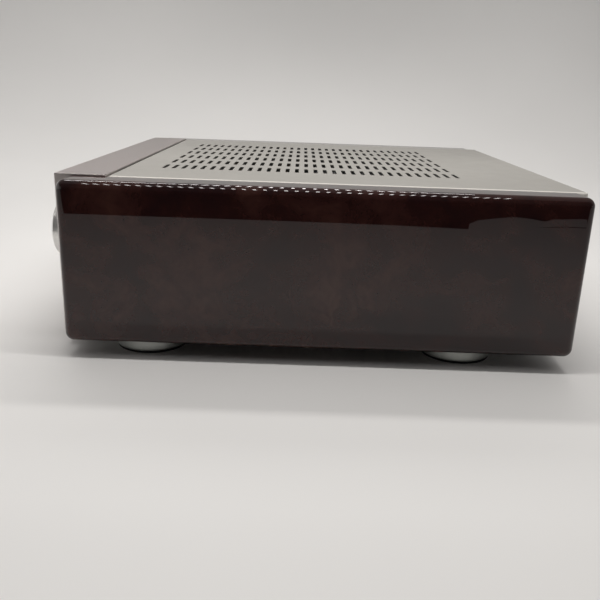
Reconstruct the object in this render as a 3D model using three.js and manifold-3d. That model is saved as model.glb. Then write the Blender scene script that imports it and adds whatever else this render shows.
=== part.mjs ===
// Integrated stereo amplifier, free-standing, full component width.
// Frame: millimetres, +Z up, front faces -Y, +X is the right-hand side seen from the front.
// Origin: on the surface it stands on, at the middle of the bounding box.
import * as THREE from 'three';
import { mergeVertices } from 'three/addons/utils/BufferGeometryUtils.js';
import { RoundedBoxGeometry } from 'three/addons/geometries/RoundedBoxGeometry.js';
import Module from 'manifold-3d';

const wasm = await Module();
wasm.setup();

// ---------------------------------------------------------------- driving dimensions (mm)
const WIDTH = 440;             // across the outer faces of the side panels
const FRONT_Y = -235.6;        // face of the volume knob
const REAR_Y = 235.6;          // tips of the speaker terminals
const BASE_Z = 13.8;           // underside of the chassis and side panels
const TOP_Z = 144.2;           // top of the front panel's flange
const COVER_Z = 143.2;         // top of the ventilated cover
const SHEET = 1.5;             // steel sheet thickness
const GAP = 0.3;               // gap between neighbouring pieces

const SIDE_T = 28.5;           // side panel thickness
const SIDE_FRONT = -200.4;     // side panel front face
const SIDE_REAR = 208.8;       // side panel rear face
const SIDE_TOP = 142.8;        // side panel top face
const SIDE_R = 7;              // rounding of the side panel's outer edges

const PANEL_FACE = -209.4;     // front panel's front face
const PANEL_BACK = -199.4;     // front panel's rear face
const PANEL_HALF = 190.8;      // half the front panel's width
const FLANGE_T = 4;            // front panel's top flange thickness
const FLANGE_REAR = -168.7;    // rear edge of the top flange
const PANEL_BEVEL = 0.8;       // broken edge of the front panel

const COVER_HALF = 191.2;      // half the cover's width
const COVER_FRONT = -167.7;
const COVER_REAR = 212.7;
const SKIRT = 14;              // height of the cover's folded edges
const SLOT_ROWS = 6;           // rows of vent slots across the width
const SLOT_COLS = 32;          // slots in a row, front to back
const SLOT_ROW_PITCH = 44.59;
const SLOT_COL_PITCH = 8.37;
const SLOT_FIRST_Y = -136.1;
const SLOT_LEN = 27.7;         // along X
const SLOT_W = 3.5;            // along Y

const WALL_HALF = 189.4;       // outer face of the chassis side walls
const WALL_TOP = 137.2;
const SUB_HALF = 187.5;        // half width of the sub-chassis and rear panel, between the walls
const SUB_Y = -199.1;          // front sub-chassis, front face
const REAR_PANEL_Y = 208.2;    // rear panel, inner face

const FOOT_R = 31;
const FOOT_X = 175;
const FOOT_FRONT_Y = -138.7;
const FOOT_REAR_Y = 123;
const PAD_H = 1.6;

const KNOB_Z = 83.4;            // height of the volume and input knobs
const VOLUME_X = 109;
const VOLUME_R = 23.8;
const INPUT_X = -109;
const INPUT_R = 19;
const INPUT_FACE = -231;
const SMALL_Z = 38;            // height of the lower row of controls
const SMALL_R = 8;
const SMALL_FACE = -223.5;
const SMALL_X = { bass: -62, treble: -12, balance: 38 };
const SHAFT_R = 3;
const POWER = { x: -160, z: KNOB_Z, r: 8, face: PANEL_FACE - 4 };
const DIRECT = { x: 88, z: SMALL_Z, r: 5, face: PANEL_FACE - 3 };
const PHONES = { x: -160, z: SMALL_Z };
const LAMP = { x: -160, z: 110 };

const TERMINAL_Z = 48;
const TERMINAL_X = [-92, -66, -40, -14];
const TERMINAL_NAMES = ['right_negative', 'right_positive', 'left_negative', 'left_positive'];
const INLET = { x: -150, z: 48 };
const JACK_X = [66, 88, 110, 132];
const JACK_Z = [92, 70];

const TRANSFORMER = { x: -96, y: -92, r: 57, bore: 17, z0: 15.6, z1: 71.6 };
const BOARD_Z = 34;            // underside of the horizontal circuit boards
const BOARD_T = 1.6;

// ---------------------------------------------------------------- materials
const mat = (color, roughness, metalness, extra = {}) =>
  new THREE.MeshStandardMaterial({ color, roughness, metalness, ...extra });
const coverPaint = mat(0xaaa8a1, 0.45, 0.3);
const panelSilver = mat(0xb3aaa6, 0.35, 0.9);
const lacquer = mat(0x2a1512, 0.06, 0.0);
const steel = mat(0x8f9296, 0.4, 0.9);
const knobSilver = mat(0xc9c8c4, 0.3, 0.95);
const footSilver = mat(0x9b9f9b, 0.35, 0.8);
const rubber = mat(0x161616, 0.8, 0.0);
const blackPlastic = mat(0x1a1a1b, 0.5, 0.0);
const redPlastic = mat(0x9c1f1c, 0.4, 0.0);
const brass = mat(0xc9a24a, 0.3, 1.0);
const blackMetal = mat(0x202124, 0.5, 0.6);
const boardGreen = mat(0x4a5c2c, 0.5, 0.0);
const boardBrown = mat(0x8a6236, 0.55, 0.0);
const copperTape = mat(0xb9802e, 0.4, 0.1);
const sleeveBlue = mat(0x1c2430, 0.35, 0.0);
const lampGreen = mat(0x9fe0a0, 0.2, 0.0);

// ---------------------------------------------------------------- geometry helpers
const AXES_YZX = new THREE.Matrix4().makeBasis(
  new THREE.Vector3(0, 1, 0), new THREE.Vector3(0, 0, 1), new THREE.Vector3(1, 0, 0));
const AXES_ZXY = new THREE.Matrix4().makeBasis(
  new THREE.Vector3(0, 0, 1), new THREE.Vector3(1, 0, 0), new THREE.Vector3(0, 1, 0));

function toSolid(geometry) {
  const g = geometry.clone();
  g.deleteAttribute('normal');
  g.deleteAttribute('uv');
  const m = mergeVertices(g, 1e-4);
  return new wasm.Manifold(new wasm.Mesh({
    numProp: 3,
    vertProperties: new Float32Array(m.attributes.position.array),
    triVerts: new Uint32Array(m.index.array),
  }));
}

function toGeometry(solid) {
  const mesh = solid.getMesh();
  const g = new THREE.BufferGeometry();
  g.setAttribute('position', new THREE.BufferAttribute(new Float32Array(mesh.vertProperties), 3));
  g.setIndex(new THREE.BufferAttribute(new Uint32Array(mesh.triVerts), 1));
  g.computeVertexNormals();
  return g;
}

const box = (x0, x1, y0, y1, z0, z1) =>
  new THREE.BoxGeometry(x1 - x0, y1 - y0, z1 - z0)
    .translate((x0 + x1) / 2, (y0 + y1) / 2, (z0 + z1) / 2);

// cylinder along Y between y0 and y1; the polygon's flats touch the true radius when outside is set
function rodY(r, y0, y1, n = 16, x = 0, z = 0, outside = false) {
  const R = outside ? r / Math.cos(Math.PI / n) : r;
  return new THREE.CylinderGeometry(R, R, y1 - y0, n).translate(x, (y0 + y1) / 2, z);
}
function rodZ(r, z0, z1, n = 16, x = 0, y = 0, outside = false) {
  const R = outside ? r / Math.cos(Math.PI / n) : r;
  return new THREE.CylinderGeometry(R, R, z1 - z0, n).rotateX(Math.PI / 2).translate(x, y, (z0 + z1) / 2);
}
// turned shape about Y from [radius, y] points, front to back
function turnedY(points, n = 24) {
  return new THREE.LatheGeometry(points.map(([r, y]) => new THREE.Vector2(r, y)), n);
}
// turned shape about Z from [radius, z] points, bottom to top
function turnedZ(points, n = 24) {
  return turnedY(points, n).rotateX(Math.PI / 2);
}
// profile in the Y-Z plane, extruded along X
function extrudeX(points, x0, x1) {
  const s = new THREE.Shape(points.map(([y, z]) => new THREE.Vector2(y, z)));
  return new THREE.ExtrudeGeometry(s, { depth: x1 - x0, bevelEnabled: false })
    .translate(0, 0, x0).applyMatrix4(AXES_YZX);
}
// profile in the Z-X plane, extruded along Y
function extrudeY(points, y0, y1) {
  const s = new THREE.Shape(points.map(([z, x]) => new THREE.Vector2(z, x)));
  return new THREE.ExtrudeGeometry(s, { depth: y1 - y0, bevelEnabled: false })
    .translate(0, 0, y0).applyMatrix4(AXES_ZXY);
}
// profile in the X-Y plane, extruded along Z
function extrudeZ(points, z0, z1) {
  const s = new THREE.Shape(points.map(([x, y]) => new THREE.Vector2(x, y)));
  return new THREE.ExtrudeGeometry(s, { depth: z1 - z0, bevelEnabled: false }).translate(0, 0, z0);
}

function add(...geometries) {
  return geometries.map(toSolid).reduce((a, b) => a.add(b));
}
function cut(solid, ...geometries) {
  return geometries.map(toSolid).reduce((a, b) => a.subtract(b), solid);
}

const amplifier = new THREE.Group();
const enclosure = new THREE.Group();
const controls = new THREE.Group();
const connections = new THREE.Group();
const electronics = new THREE.Group();
amplifier.add(enclosure, controls, connections, electronics);

function piece(parent, name, geometry, material, x = 0, y = 0, z = 0) {
  const mesh = new THREE.Mesh(geometry, material);
  mesh.name = name;
  mesh.position.set(x, y, z);
  parent.add(mesh);
  return mesh;
}

// ---------------------------------------------------------------- enclosure
// Chassis: one folded sheet with a floor and two side walls, and turned stand-offs riveted into the floor.
{
  const w = WALL_HALF, t = SHEET;
  let s = toSolid(extrudeY([
    [BASE_Z, -w], [WALL_TOP, -w], [WALL_TOP, -w + t], [BASE_Z + t, -w + t],
    [BASE_Z + t, w - t], [WALL_TOP, w - t], [WALL_TOP, w], [BASE_Z, w],
  ].reverse(), SUB_Y + SHEET + GAP, REAR_PANEL_Y - GAP));
  const posts = [[-155, -12], [-47, -12], [-155, 108], [-47, 108], [72, -112], [172, -112], [72, 144], [172, 144]];
  for (const [x, y] of posts) s = s.add(toSolid(rodZ(4, BASE_Z + 0.5, BOARD_Z - GAP, 8, x, y)));
  piece(enclosure, 'chassis_base', toGeometry(s), steel);
}

// Front sub-chassis: a plate behind the front panel that carries the controls.
{
  let s = toSolid(box(-SUB_HALF, SUB_HALF, SUB_Y, SUB_Y + SHEET, BASE_Z + SHEET + GAP, WALL_TOP));
  const hole = (x, z, r, n = 16) => { s = s.subtract(toSolid(rodY(r, SUB_Y - 1, SUB_Y + 3, n, x, z, true))); };
  hole(VOLUME_X, KNOB_Z, 4.8);
  hole(INPUT_X, KNOB_Z, 4.8);
  for (const x of Object.values(SMALL_X)) hole(x, SMALL_Z, 4.0, 12);
  hole(POWER.x, POWER.z, 9);
  hole(DIRECT.x, DIRECT.z, 5.8, 12);
  hole(PHONES.x, PHONES.z, 6.2, 12);
  hole(LAMP.x, LAMP.z, 2.6, 12);
  piece(enclosure, 'front_subchassis', toGeometry(s), steel);
}

// Front panel: a thick face plate with a flange that wraps over the top, outer edges broken.
{
  const b = PANEL_BEVEL;
  const profile = [
    [PANEL_FACE + b, BASE_Z], [PANEL_BACK, BASE_Z], [PANEL_BACK, TOP_Z - FLANGE_T],
    [FLANGE_REAR, TOP_Z - FLANGE_T], [FLANGE_REAR, TOP_Z], [PANEL_FACE + b, TOP_Z],
    [PANEL_FACE, TOP_Z - b], [PANEL_FACE, BASE_Z + b],
  ];
  let s = toSolid(extrudeX(profile, -PANEL_HALF, PANEL_HALF));
  const hole = (x, z, r, n = 16) => {
    s = s.subtract(toSolid(rodY(r, PANEL_FACE - 1, PANEL_BACK + 1, n, x, z, true)));
  };
  hole(VOLUME_X, KNOB_Z, 6);
  hole(INPUT_X, KNOB_Z, 6);
  for (const x of Object.values(SMALL_X)) hole(x, SMALL_Z, 5, 12);
  hole(POWER.x, POWER.z, POWER.r + 0.4, 20);
  hole(DIRECT.x, DIRECT.z, DIRECT.r + 0.4);
  hole(PHONES.x, PHONES.z, 6.3);
  hole(LAMP.x, LAMP.z, 2.3, 12);
  piece(enclosure, 'front_panel', toGeometry(s), panelSilver);
}

// Rear panel with its cut-outs.
{
  let s = toSolid(box(-SUB_HALF, SUB_HALF, REAR_PANEL_Y, REAR_PANEL_Y + SHEET, BASE_Z + SHEET + GAP, COVER_Z - SHEET - GAP));
  s = cut(s, box(INLET.x - 14.3, INLET.x + 14.3, REAR_PANEL_Y - 3.5, REAR_PANEL_Y + 5.5, INLET.z - 10.8, INLET.z + 10.8));
  for (const x of TERMINAL_X) s = s.subtract(toSolid(rodY(5, REAR_PANEL_Y - 3.5, REAR_PANEL_Y + 5.5, 12, x, TERMINAL_Z, true)));
  for (const x of JACK_X) for (const z of JACK_Z) s = s.subtract(toSolid(rodY(5.4, REAR_PANEL_Y - 3.5, REAR_PANEL_Y + 5.5, 12, x, z, true)));
  piece(enclosure, 'rear_panel', toGeometry(s), blackMetal);
}

// Top cover: folded sheet with short side and rear lips and a grid of vent slots.
{
  const h = COVER_HALF, t = SHEET;
  const outer = box(-h, h, COVER_FRONT, COVER_REAR, COVER_Z - SKIRT, COVER_Z);
  let s = cut(toSolid(outer), box(-h + 1.4, h - 1.4, COVER_FRONT - 5, COVER_REAR - 1.4, COVER_Z - SKIRT - 5, COVER_Z - t));
  const slots = [];
  for (let i = 0; i < SLOT_ROWS; i++) {
    const x = (i - (SLOT_ROWS - 1) / 2) * SLOT_ROW_PITCH;
    for (let j = 0; j < SLOT_COLS; j++) {
      const y = SLOT_FIRST_Y + j * SLOT_COL_PITCH;
      slots.push(toSolid(box(x - SLOT_LEN / 2, x + SLOT_LEN / 2, y - SLOT_W / 2, y + SLOT_W / 2, COVER_Z - 4, COVER_Z + 2)));
    }
  }
  for (const c of slots) s = s.subtract(c);
  piece(enclosure, 'top_cover', toGeometry(s), coverPaint);
}

// Side panels: thick lacquered veneered slabs, outer edges rounded, inner face flat.
{
  const len = SIDE_REAR - SIDE_FRONT, tall = SIDE_TOP - BASE_Z;
  const slab = (side) => {
    const body = toSolid(new RoundedBoxGeometry(2 * SIDE_T, len, tall, 2, SIDE_R));
    const half = toSolid(box(side > 0 ? 0 : -40, side > 0 ? 40 : 0, -len, len, -tall, tall));
    return toGeometry(body.intersect(half));
  };
  const x = WIDTH / 2 - SIDE_T, y = (SIDE_FRONT + SIDE_REAR) / 2, z = (BASE_Z + SIDE_TOP) / 2;
  piece(enclosure, 'side_panel_right', slab(1), lacquer, x, y, z);
  piece(enclosure, 'side_panel_left', slab(-1), lacquer, -x, y, z);
}

// Feet: metal-faced discs, each on a thin rubber pad.
for (const [tag, x, y] of [
  ['front_right', FOOT_X, FOOT_FRONT_Y], ['front_left', -FOOT_X, FOOT_FRONT_Y],
  ['rear_right', FOOT_X, FOOT_REAR_Y], ['rear_left', -FOOT_X, FOOT_REAR_Y]]) {
  const top = BASE_Z - GAP, low = PAD_H + 0.2;
  piece(enclosure, `foot_${tag}`, turnedZ([
    [0, low], [FOOT_R - 1.4, low], [FOOT_R, low + 1.4], [FOOT_R, top - 2], [FOOT_R - 1.2, top], [0, top],
  ], 24), footSilver, x, y, 0);
  piece(enclosure, `foot_pad_${tag}`, turnedZ([[0, 0], [FOOT_R - 1.6, 0], [FOOT_R - 1.6, PAD_H], [0, PAD_H]], 24), rubber, x, y, 0);
}

// ---------------------------------------------------------------- rotary controls
// Knob bodies are turned, with a blind bore at the back for the shaft.
function knob(face, back, r, bore, n) {
  const body = toSolid(turnedY([
    [0, face], [r - 1.0, face], [r, face + 1.0], [r, back - 2.2], [r - 0.8, back], [0, back],
  ], n));
  return toGeometry(cut(body, rodY(bore, face + 6, back + 1, 12, 0, 0, true)));
}
// A potentiometer or switch: round case with a threaded nose through the sub-chassis and a blind shaft bore.
function rotary(caseR, caseEnd, noseR, boreEnd, n) {
  const y0 = SUB_Y + SHEET + GAP;
  const s = add(rodY(caseR, y0, caseEnd, n), rodY(noseR, SUB_Y - 2.4, y0 + 1, 12));
  return toGeometry(cut(s, rodY(SHAFT_R + 0.15, SUB_Y - 5, boreEnd, 12, 0, 0, true)));
}

piece(controls, 'volume_knob', knob(FRONT_Y, PANEL_FACE - 1.5, VOLUME_R, SHAFT_R + GAP, 32), knobSilver, VOLUME_X, 0, KNOB_Z);
piece(controls, 'volume_shaft', rodY(SHAFT_R, FRONT_Y + 6.4, PANEL_FACE + 24, 12), steel, VOLUME_X, 0, KNOB_Z);
piece(controls, 'volume_pot', rotary(14, PANEL_FACE + 38, 4.4, PANEL_FACE + 25, 16), steel, VOLUME_X, 0, KNOB_Z);

piece(controls, 'input_knob', knob(INPUT_FACE, PANEL_FACE - 1.5, INPUT_R, SHAFT_R + GAP, 28), knobSilver, INPUT_X, 0, KNOB_Z);
piece(controls, 'input_shaft', rodY(SHAFT_R, INPUT_FACE + 6.4, PANEL_FACE + 24, 12), steel, INPUT_X, 0, KNOB_Z);
piece(controls, 'input_selector_switch', rotary(15, PANEL_FACE + 42, 4.4, PANEL_FACE + 25, 16), blackPlastic, INPUT_X, 0, KNOB_Z);

for (const [name, x] of Object.entries(SMALL_X)) {
  // small knob with its spindle moulded on
  const body = turnedY([
    [0, SMALL_FACE], [SMALL_R - 0.8, SMALL_FACE], [SMALL_R, SMALL_FACE + 0.8], [SMALL_R, PANEL_FACE - 1.2],
    [SHAFT_R, PANEL_FACE - 1.2], [SHAFT_R, PANEL_FACE + 20], [0, PANEL_FACE + 20],
  ], 16);
  piece(controls, `${name}_knob`, body, knobSilver, x, 0, SMALL_Z);
  piece(controls, `${name}_pot`, rotary(8.5, PANEL_FACE + 26, 3.7, PANEL_FACE + 21, 12), steel, x, 0, SMALL_Z);
}

// ---------------------------------------------------------------- push buttons, lamp, headphone socket
function pushButton(face, r, plungerR, plungerEnd, n) {
  return turnedY([
    [0, face], [r - 0.6, face], [r, face + 0.6], [r, PANEL_FACE + 7.8], [plungerR, PANEL_FACE + 7.8], [plungerR, plungerEnd], [0, plungerEnd],
  ], n);
}
piece(controls, 'power_button', pushButton(POWER.face, POWER.r, 3, PANEL_FACE + 17.8, 20), knobSilver, POWER.x, 0, POWER.z);
piece(controls, 'power_switch', box(-11, 11, PANEL_FACE + 21.5, PANEL_FACE + 46, -9, 9), blackPlastic, POWER.x, 0, POWER.z);
piece(controls, 'direct_button', pushButton(DIRECT.face, DIRECT.r, 2, PANEL_FACE + 14.8, 16), knobSilver, DIRECT.x, 0, DIRECT.z);
piece(controls, 'direct_switch', box(-5, 5, PANEL_FACE + 18, PANEL_FACE + 26, -5, 5), blackPlastic, DIRECT.x, 0, DIRECT.z);
piece(controls, 'power_lamp', turnedY([
  [0, PANEL_FACE - 0.6], [1.5, PANEL_FACE - 0.3], [2.1, PANEL_FACE + 0.4], [2.1, PANEL_FACE + 14], [0, PANEL_FACE + 14]], 12), lampGreen, LAMP.x, 0, LAMP.z);
{
  // bush with a ring at the front, a body behind, and the plug's bore
  const s = add(rodY(8, PANEL_FACE - 1.6, PANEL_FACE - 0.1, 20), rodY(5.9, PANEL_FACE - 0.5, PANEL_FACE + 18, 16),
    box(-8, 8, PANEL_FACE + 12.6, PANEL_FACE + 38, -8, 8));
  piece(connections, 'headphone_jack', toGeometry(cut(s, rodY(3.3, PANEL_FACE - 6, PANEL_FACE + 32, 12, 0, 0, true))), blackPlastic, PHONES.x, 0, PHONES.z);
}
piece(electronics, 'tone_control_board', box(-82, 104, PANEL_FACE + 26.4, PANEL_FACE + 28, 20, 54), boardBrown);

// ---------------------------------------------------------------- rear connections
// Mains inlet: flanged moulding with a recessed three-blade socket.
{
  const s = add(box(-24.5, 24.5, REAR_PANEL_Y + 1.8, REAR_PANEL_Y + 4.8, -12.5, 12.5),
    box(-14, 14, REAR_PANEL_Y - 21.5, REAR_PANEL_Y + 2.5, -10.5, 10.5));
  let c = cut(s, box(-12, 12, REAR_PANEL_Y - 13, REAR_PANEL_Y + 8.5, -8.2, 8.2));
  for (const [x, z] of [[-7, -4.6], [7, -4.6], [0, -0.6]]) {
    c = c.add(toSolid(box(x - 1, x + 1, REAR_PANEL_Y - 14, REAR_PANEL_Y + 2, z - 2, z + 2)));
  }
  piece(connections, 'mains_inlet', toGeometry(c), blackPlastic, INLET.x, 0, INLET.z);
}

// Line-level sockets: one moulded plate that carries two rows of phono sockets.
{
  const x0 = JACK_X[0] - 11, x1 = JACK_X[3] + 11, z0 = JACK_Z[1] - 11, z1 = JACK_Z[0] + 11;
  let s = toSolid(box(x0, x1, REAR_PANEL_Y - 10.5, REAR_PANEL_Y - 0.4, z0, z1));
  for (const x of JACK_X) for (const z of JACK_Z) {
    s = s.add(toSolid(rodY(5.1, REAR_PANEL_Y - 1.5, REAR_PANEL_Y + 4, 12, x, z))).add(toSolid(rodY(4.15, REAR_PANEL_Y + 3.5, REAR_PANEL_Y + 13.5, 12, x, z)));
    s = s.subtract(toSolid(rodY(1.6, REAR_PANEL_Y + 1.5, REAR_PANEL_Y + 15.5, 8, x, z)));
  }
  piece(connections, 'line_jack_block', toGeometry(s), blackPlastic);
}

// Speaker terminals: an insulating block behind the panel, and for each pole a threaded stud, a clamp washer that
// slides on the stud's flats, and a cap that screws along the thread.
{
  const x0 = TERMINAL_X[0] - 13, x1 = TERMINAL_X[3] + 13;
  let s = toSolid(box(x0, x1, REAR_PANEL_Y - 11.5, REAR_PANEL_Y - 0.4, TERMINAL_Z - 13, TERMINAL_Z + 13));
  for (const x of TERMINAL_X) {
    s = s.add(toSolid(rodY(4.7, REAR_PANEL_Y - 1.5, REAR_PANEL_Y + 6.5, 12, x, TERMINAL_Z)));
    s = s.subtract(toSolid(rodY(3.3, REAR_PANEL_Y - 21.5, REAR_PANEL_Y + 8.5, 12, x, TERMINAL_Z, true)));
  }
  piece(connections, 'speaker_terminal_block', toGeometry(s), blackPlastic);
  TERMINAL_X.forEach((x, i) => {
    const tag = TERMINAL_NAMES[i];
    piece(connections, `terminal_stud_${tag}`, turnedY([
      [0, REAR_PANEL_Y - 17.5], [3, REAR_PANEL_Y - 17.5], [3, REAR_PANEL_Y + 21.5], [0, REAR_PANEL_Y + 21.5]], 12), brass, x, 0, TERMINAL_Z);
    const washer = toGeometry(cut(toSolid(rodY(7, REAR_PANEL_Y + 6.9, REAR_PANEL_Y + 8.5, 12)), rodY(3.15, REAR_PANEL_Y - 1.5, REAR_PANEL_Y + 14.5, 12, 0, 0, true)));
    piece(connections, `clamp_washer_${tag}`, washer, brass, x, 0, TERMINAL_Z);
    const cap = cut(
      toSolid(turnedY([
        [0, REAR_PANEL_Y + 8.8], [7.5, REAR_PANEL_Y + 8.8], [8, REAR_PANEL_Y + 9.5], [8, REAR_PANEL_Y + 20.5],
        [6.6, REAR_PANEL_Y + 25], [5.8, REAR_Y], [0, REAR_Y]], 16)),
      rodY(3.15, REAR_PANEL_Y + 3.5, REAR_PANEL_Y + 22.1, 12, 0, 0, true), rodY(2.1, REAR_PANEL_Y + 18.5, REAR_PANEL_Y + 28.5, 8, 0, 0));
    piece(connections, `terminal_cap_${tag}`, toGeometry(cap), i % 2 ? redPlastic : blackPlastic, x, 0, TERMINAL_Z);
  });
}

// ---------------------------------------------------------------- electronics
// Toroidal mains transformer, wound ring with rounded shoulders, held by a dished plate and a centre bolt.
{
  const { x, y, r, bore, z0, z1 } = TRANSFORMER, f = 8;
  piece(electronics, 'mains_transformer', turnedZ([
    [bore, z0 + 4], [bore + 4, z0], [r - f, z0], [r - 2, z0 + 3], [r, z0 + f],
    [r, z1 - f], [r - 2, z1 - 3], [r - f, z1], [bore + 4, z1], [bore, z1 - 4], [bore, z0 + 4],
  ], 28), copperTape, x, y, 0);
  const s = add(rodZ(34, z1 + GAP, z1 + GAP + 2, 24, 0, 0), rodZ(4, z0 + GAP, z1 + 1.2, 12), rodZ(6.5, z1 + 1.5, z1 + 7, 6));
  piece(electronics, 'transformer_clamp', toGeometry(s), steel, x, y, 0);
}

// Heat sink: extruded comb, fins towards -X, flat mounting face towards +X.
{
  const y0 = -118, y1 = 120, fins = 20, pitch = (y1 - y0 - 3) / (fins - 1);
  const pts = [[60, y0], [60, y1]];
  for (let i = fins - 1; i >= 0; i--) {
    const a = y0 + i * pitch, b = a + 3;
    pts.push([24, b], [24, a]);
    if (i > 0) pts.push([52, a], [52, a - pitch + 3]);
  }
  piece(electronics, 'main_heatsink', extrudeZ(pts, BASE_Z + SHEET + GAP, 112), blackMetal);
}
piece(electronics, 'output_module_left', box(60.3, 66, -80, -20, 40, 66), blackPlastic);
piece(electronics, 'output_module_right', box(60.3, 66, 20, 80, 40, 66), blackPlastic);
piece(electronics, 'power_amp_board', box(68, 178, -118, 150, BOARD_Z, BOARD_Z + BOARD_T), boardGreen);
piece(electronics, 'speaker_relay', box(84, 112, 112, 134, BOARD_Z + BOARD_T + GAP, 62), blackPlastic);
piece(electronics, 'power_supply_board', box(-161, -41, -18, 114, BOARD_Z, BOARD_Z + BOARD_T), boardBrown);
for (const [tag, y] of [['front', 14], ['rear', 74]]) {
  piece(electronics, `filter_capacitor_${tag}`, turnedZ([
    [0, BOARD_Z + BOARD_T + GAP], [25, BOARD_Z + BOARD_T + GAP], [25, 114], [23.5, 116], [0, 116],
  ], 24), sleeveBlue, -104, y, 0);
}
piece(electronics, 'input_board', box(52, 148, REAR_PANEL_Y - 15.5, REAR_PANEL_Y - 13.9, 52, 110), boardGreen);

export default amplifier;
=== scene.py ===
import math
import random
from math import cos, pi, radians, sin, sqrt

import bmesh
import bpy
from mathutils import Matrix, Vector


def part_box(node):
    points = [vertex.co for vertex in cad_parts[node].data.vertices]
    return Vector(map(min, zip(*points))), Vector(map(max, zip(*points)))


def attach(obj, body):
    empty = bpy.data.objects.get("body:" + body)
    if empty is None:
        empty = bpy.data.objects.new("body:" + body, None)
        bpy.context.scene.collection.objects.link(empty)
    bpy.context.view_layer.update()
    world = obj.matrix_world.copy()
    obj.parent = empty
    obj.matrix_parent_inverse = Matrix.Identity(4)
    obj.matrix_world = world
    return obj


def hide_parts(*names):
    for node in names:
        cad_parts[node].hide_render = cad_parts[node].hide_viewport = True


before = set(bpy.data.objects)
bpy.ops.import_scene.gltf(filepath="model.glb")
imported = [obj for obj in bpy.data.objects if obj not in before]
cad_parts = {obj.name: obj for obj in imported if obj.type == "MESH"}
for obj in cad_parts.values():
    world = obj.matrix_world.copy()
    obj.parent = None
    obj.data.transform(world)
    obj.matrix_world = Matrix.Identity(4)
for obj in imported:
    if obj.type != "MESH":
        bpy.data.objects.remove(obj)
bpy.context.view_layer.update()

scene = bpy.context.scene
M = 0.001  # millimetre

# ------------------------------------------------------------------ camera
AZ, EL, ROLL = radians(-0.2972), radians(17.3846), radians(2.0713)
FOCAL_PX = 686.252
EYE = Vector((0.733683, -0.015225, 0.216600))
fw = Vector((-cos(EL) * cos(AZ), -cos(EL) * sin(AZ), -sin(EL)))
right = fw.cross(Vector((0, 0, 1))).normalized()
up = right.cross(fw)
right2 = cos(ROLL) * right + sin(ROLL) * up
up2 = -sin(ROLL) * right + cos(ROLL) * up
cam_data = bpy.data.cameras.new("camera")
cam_data.sensor_fit = "HORIZONTAL"
cam_data.sensor_width = 36
cam_data.lens = FOCAL_PX * 36 / 600
cam_data.clip_start = 0.01
cam_data.clip_end = 50
cam = bpy.data.objects.new("camera", cam_data)
scene.collection.objects.link(cam)
m = Matrix.Identity(4)
for i in range(3):
    m[i][0], m[i][1], m[i][2], m[i][3] = right2[i], up2[i], -fw[i], EYE[i]
cam.matrix_world = m
scene.camera = cam
scene.view_settings.view_transform = "Standard"


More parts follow.
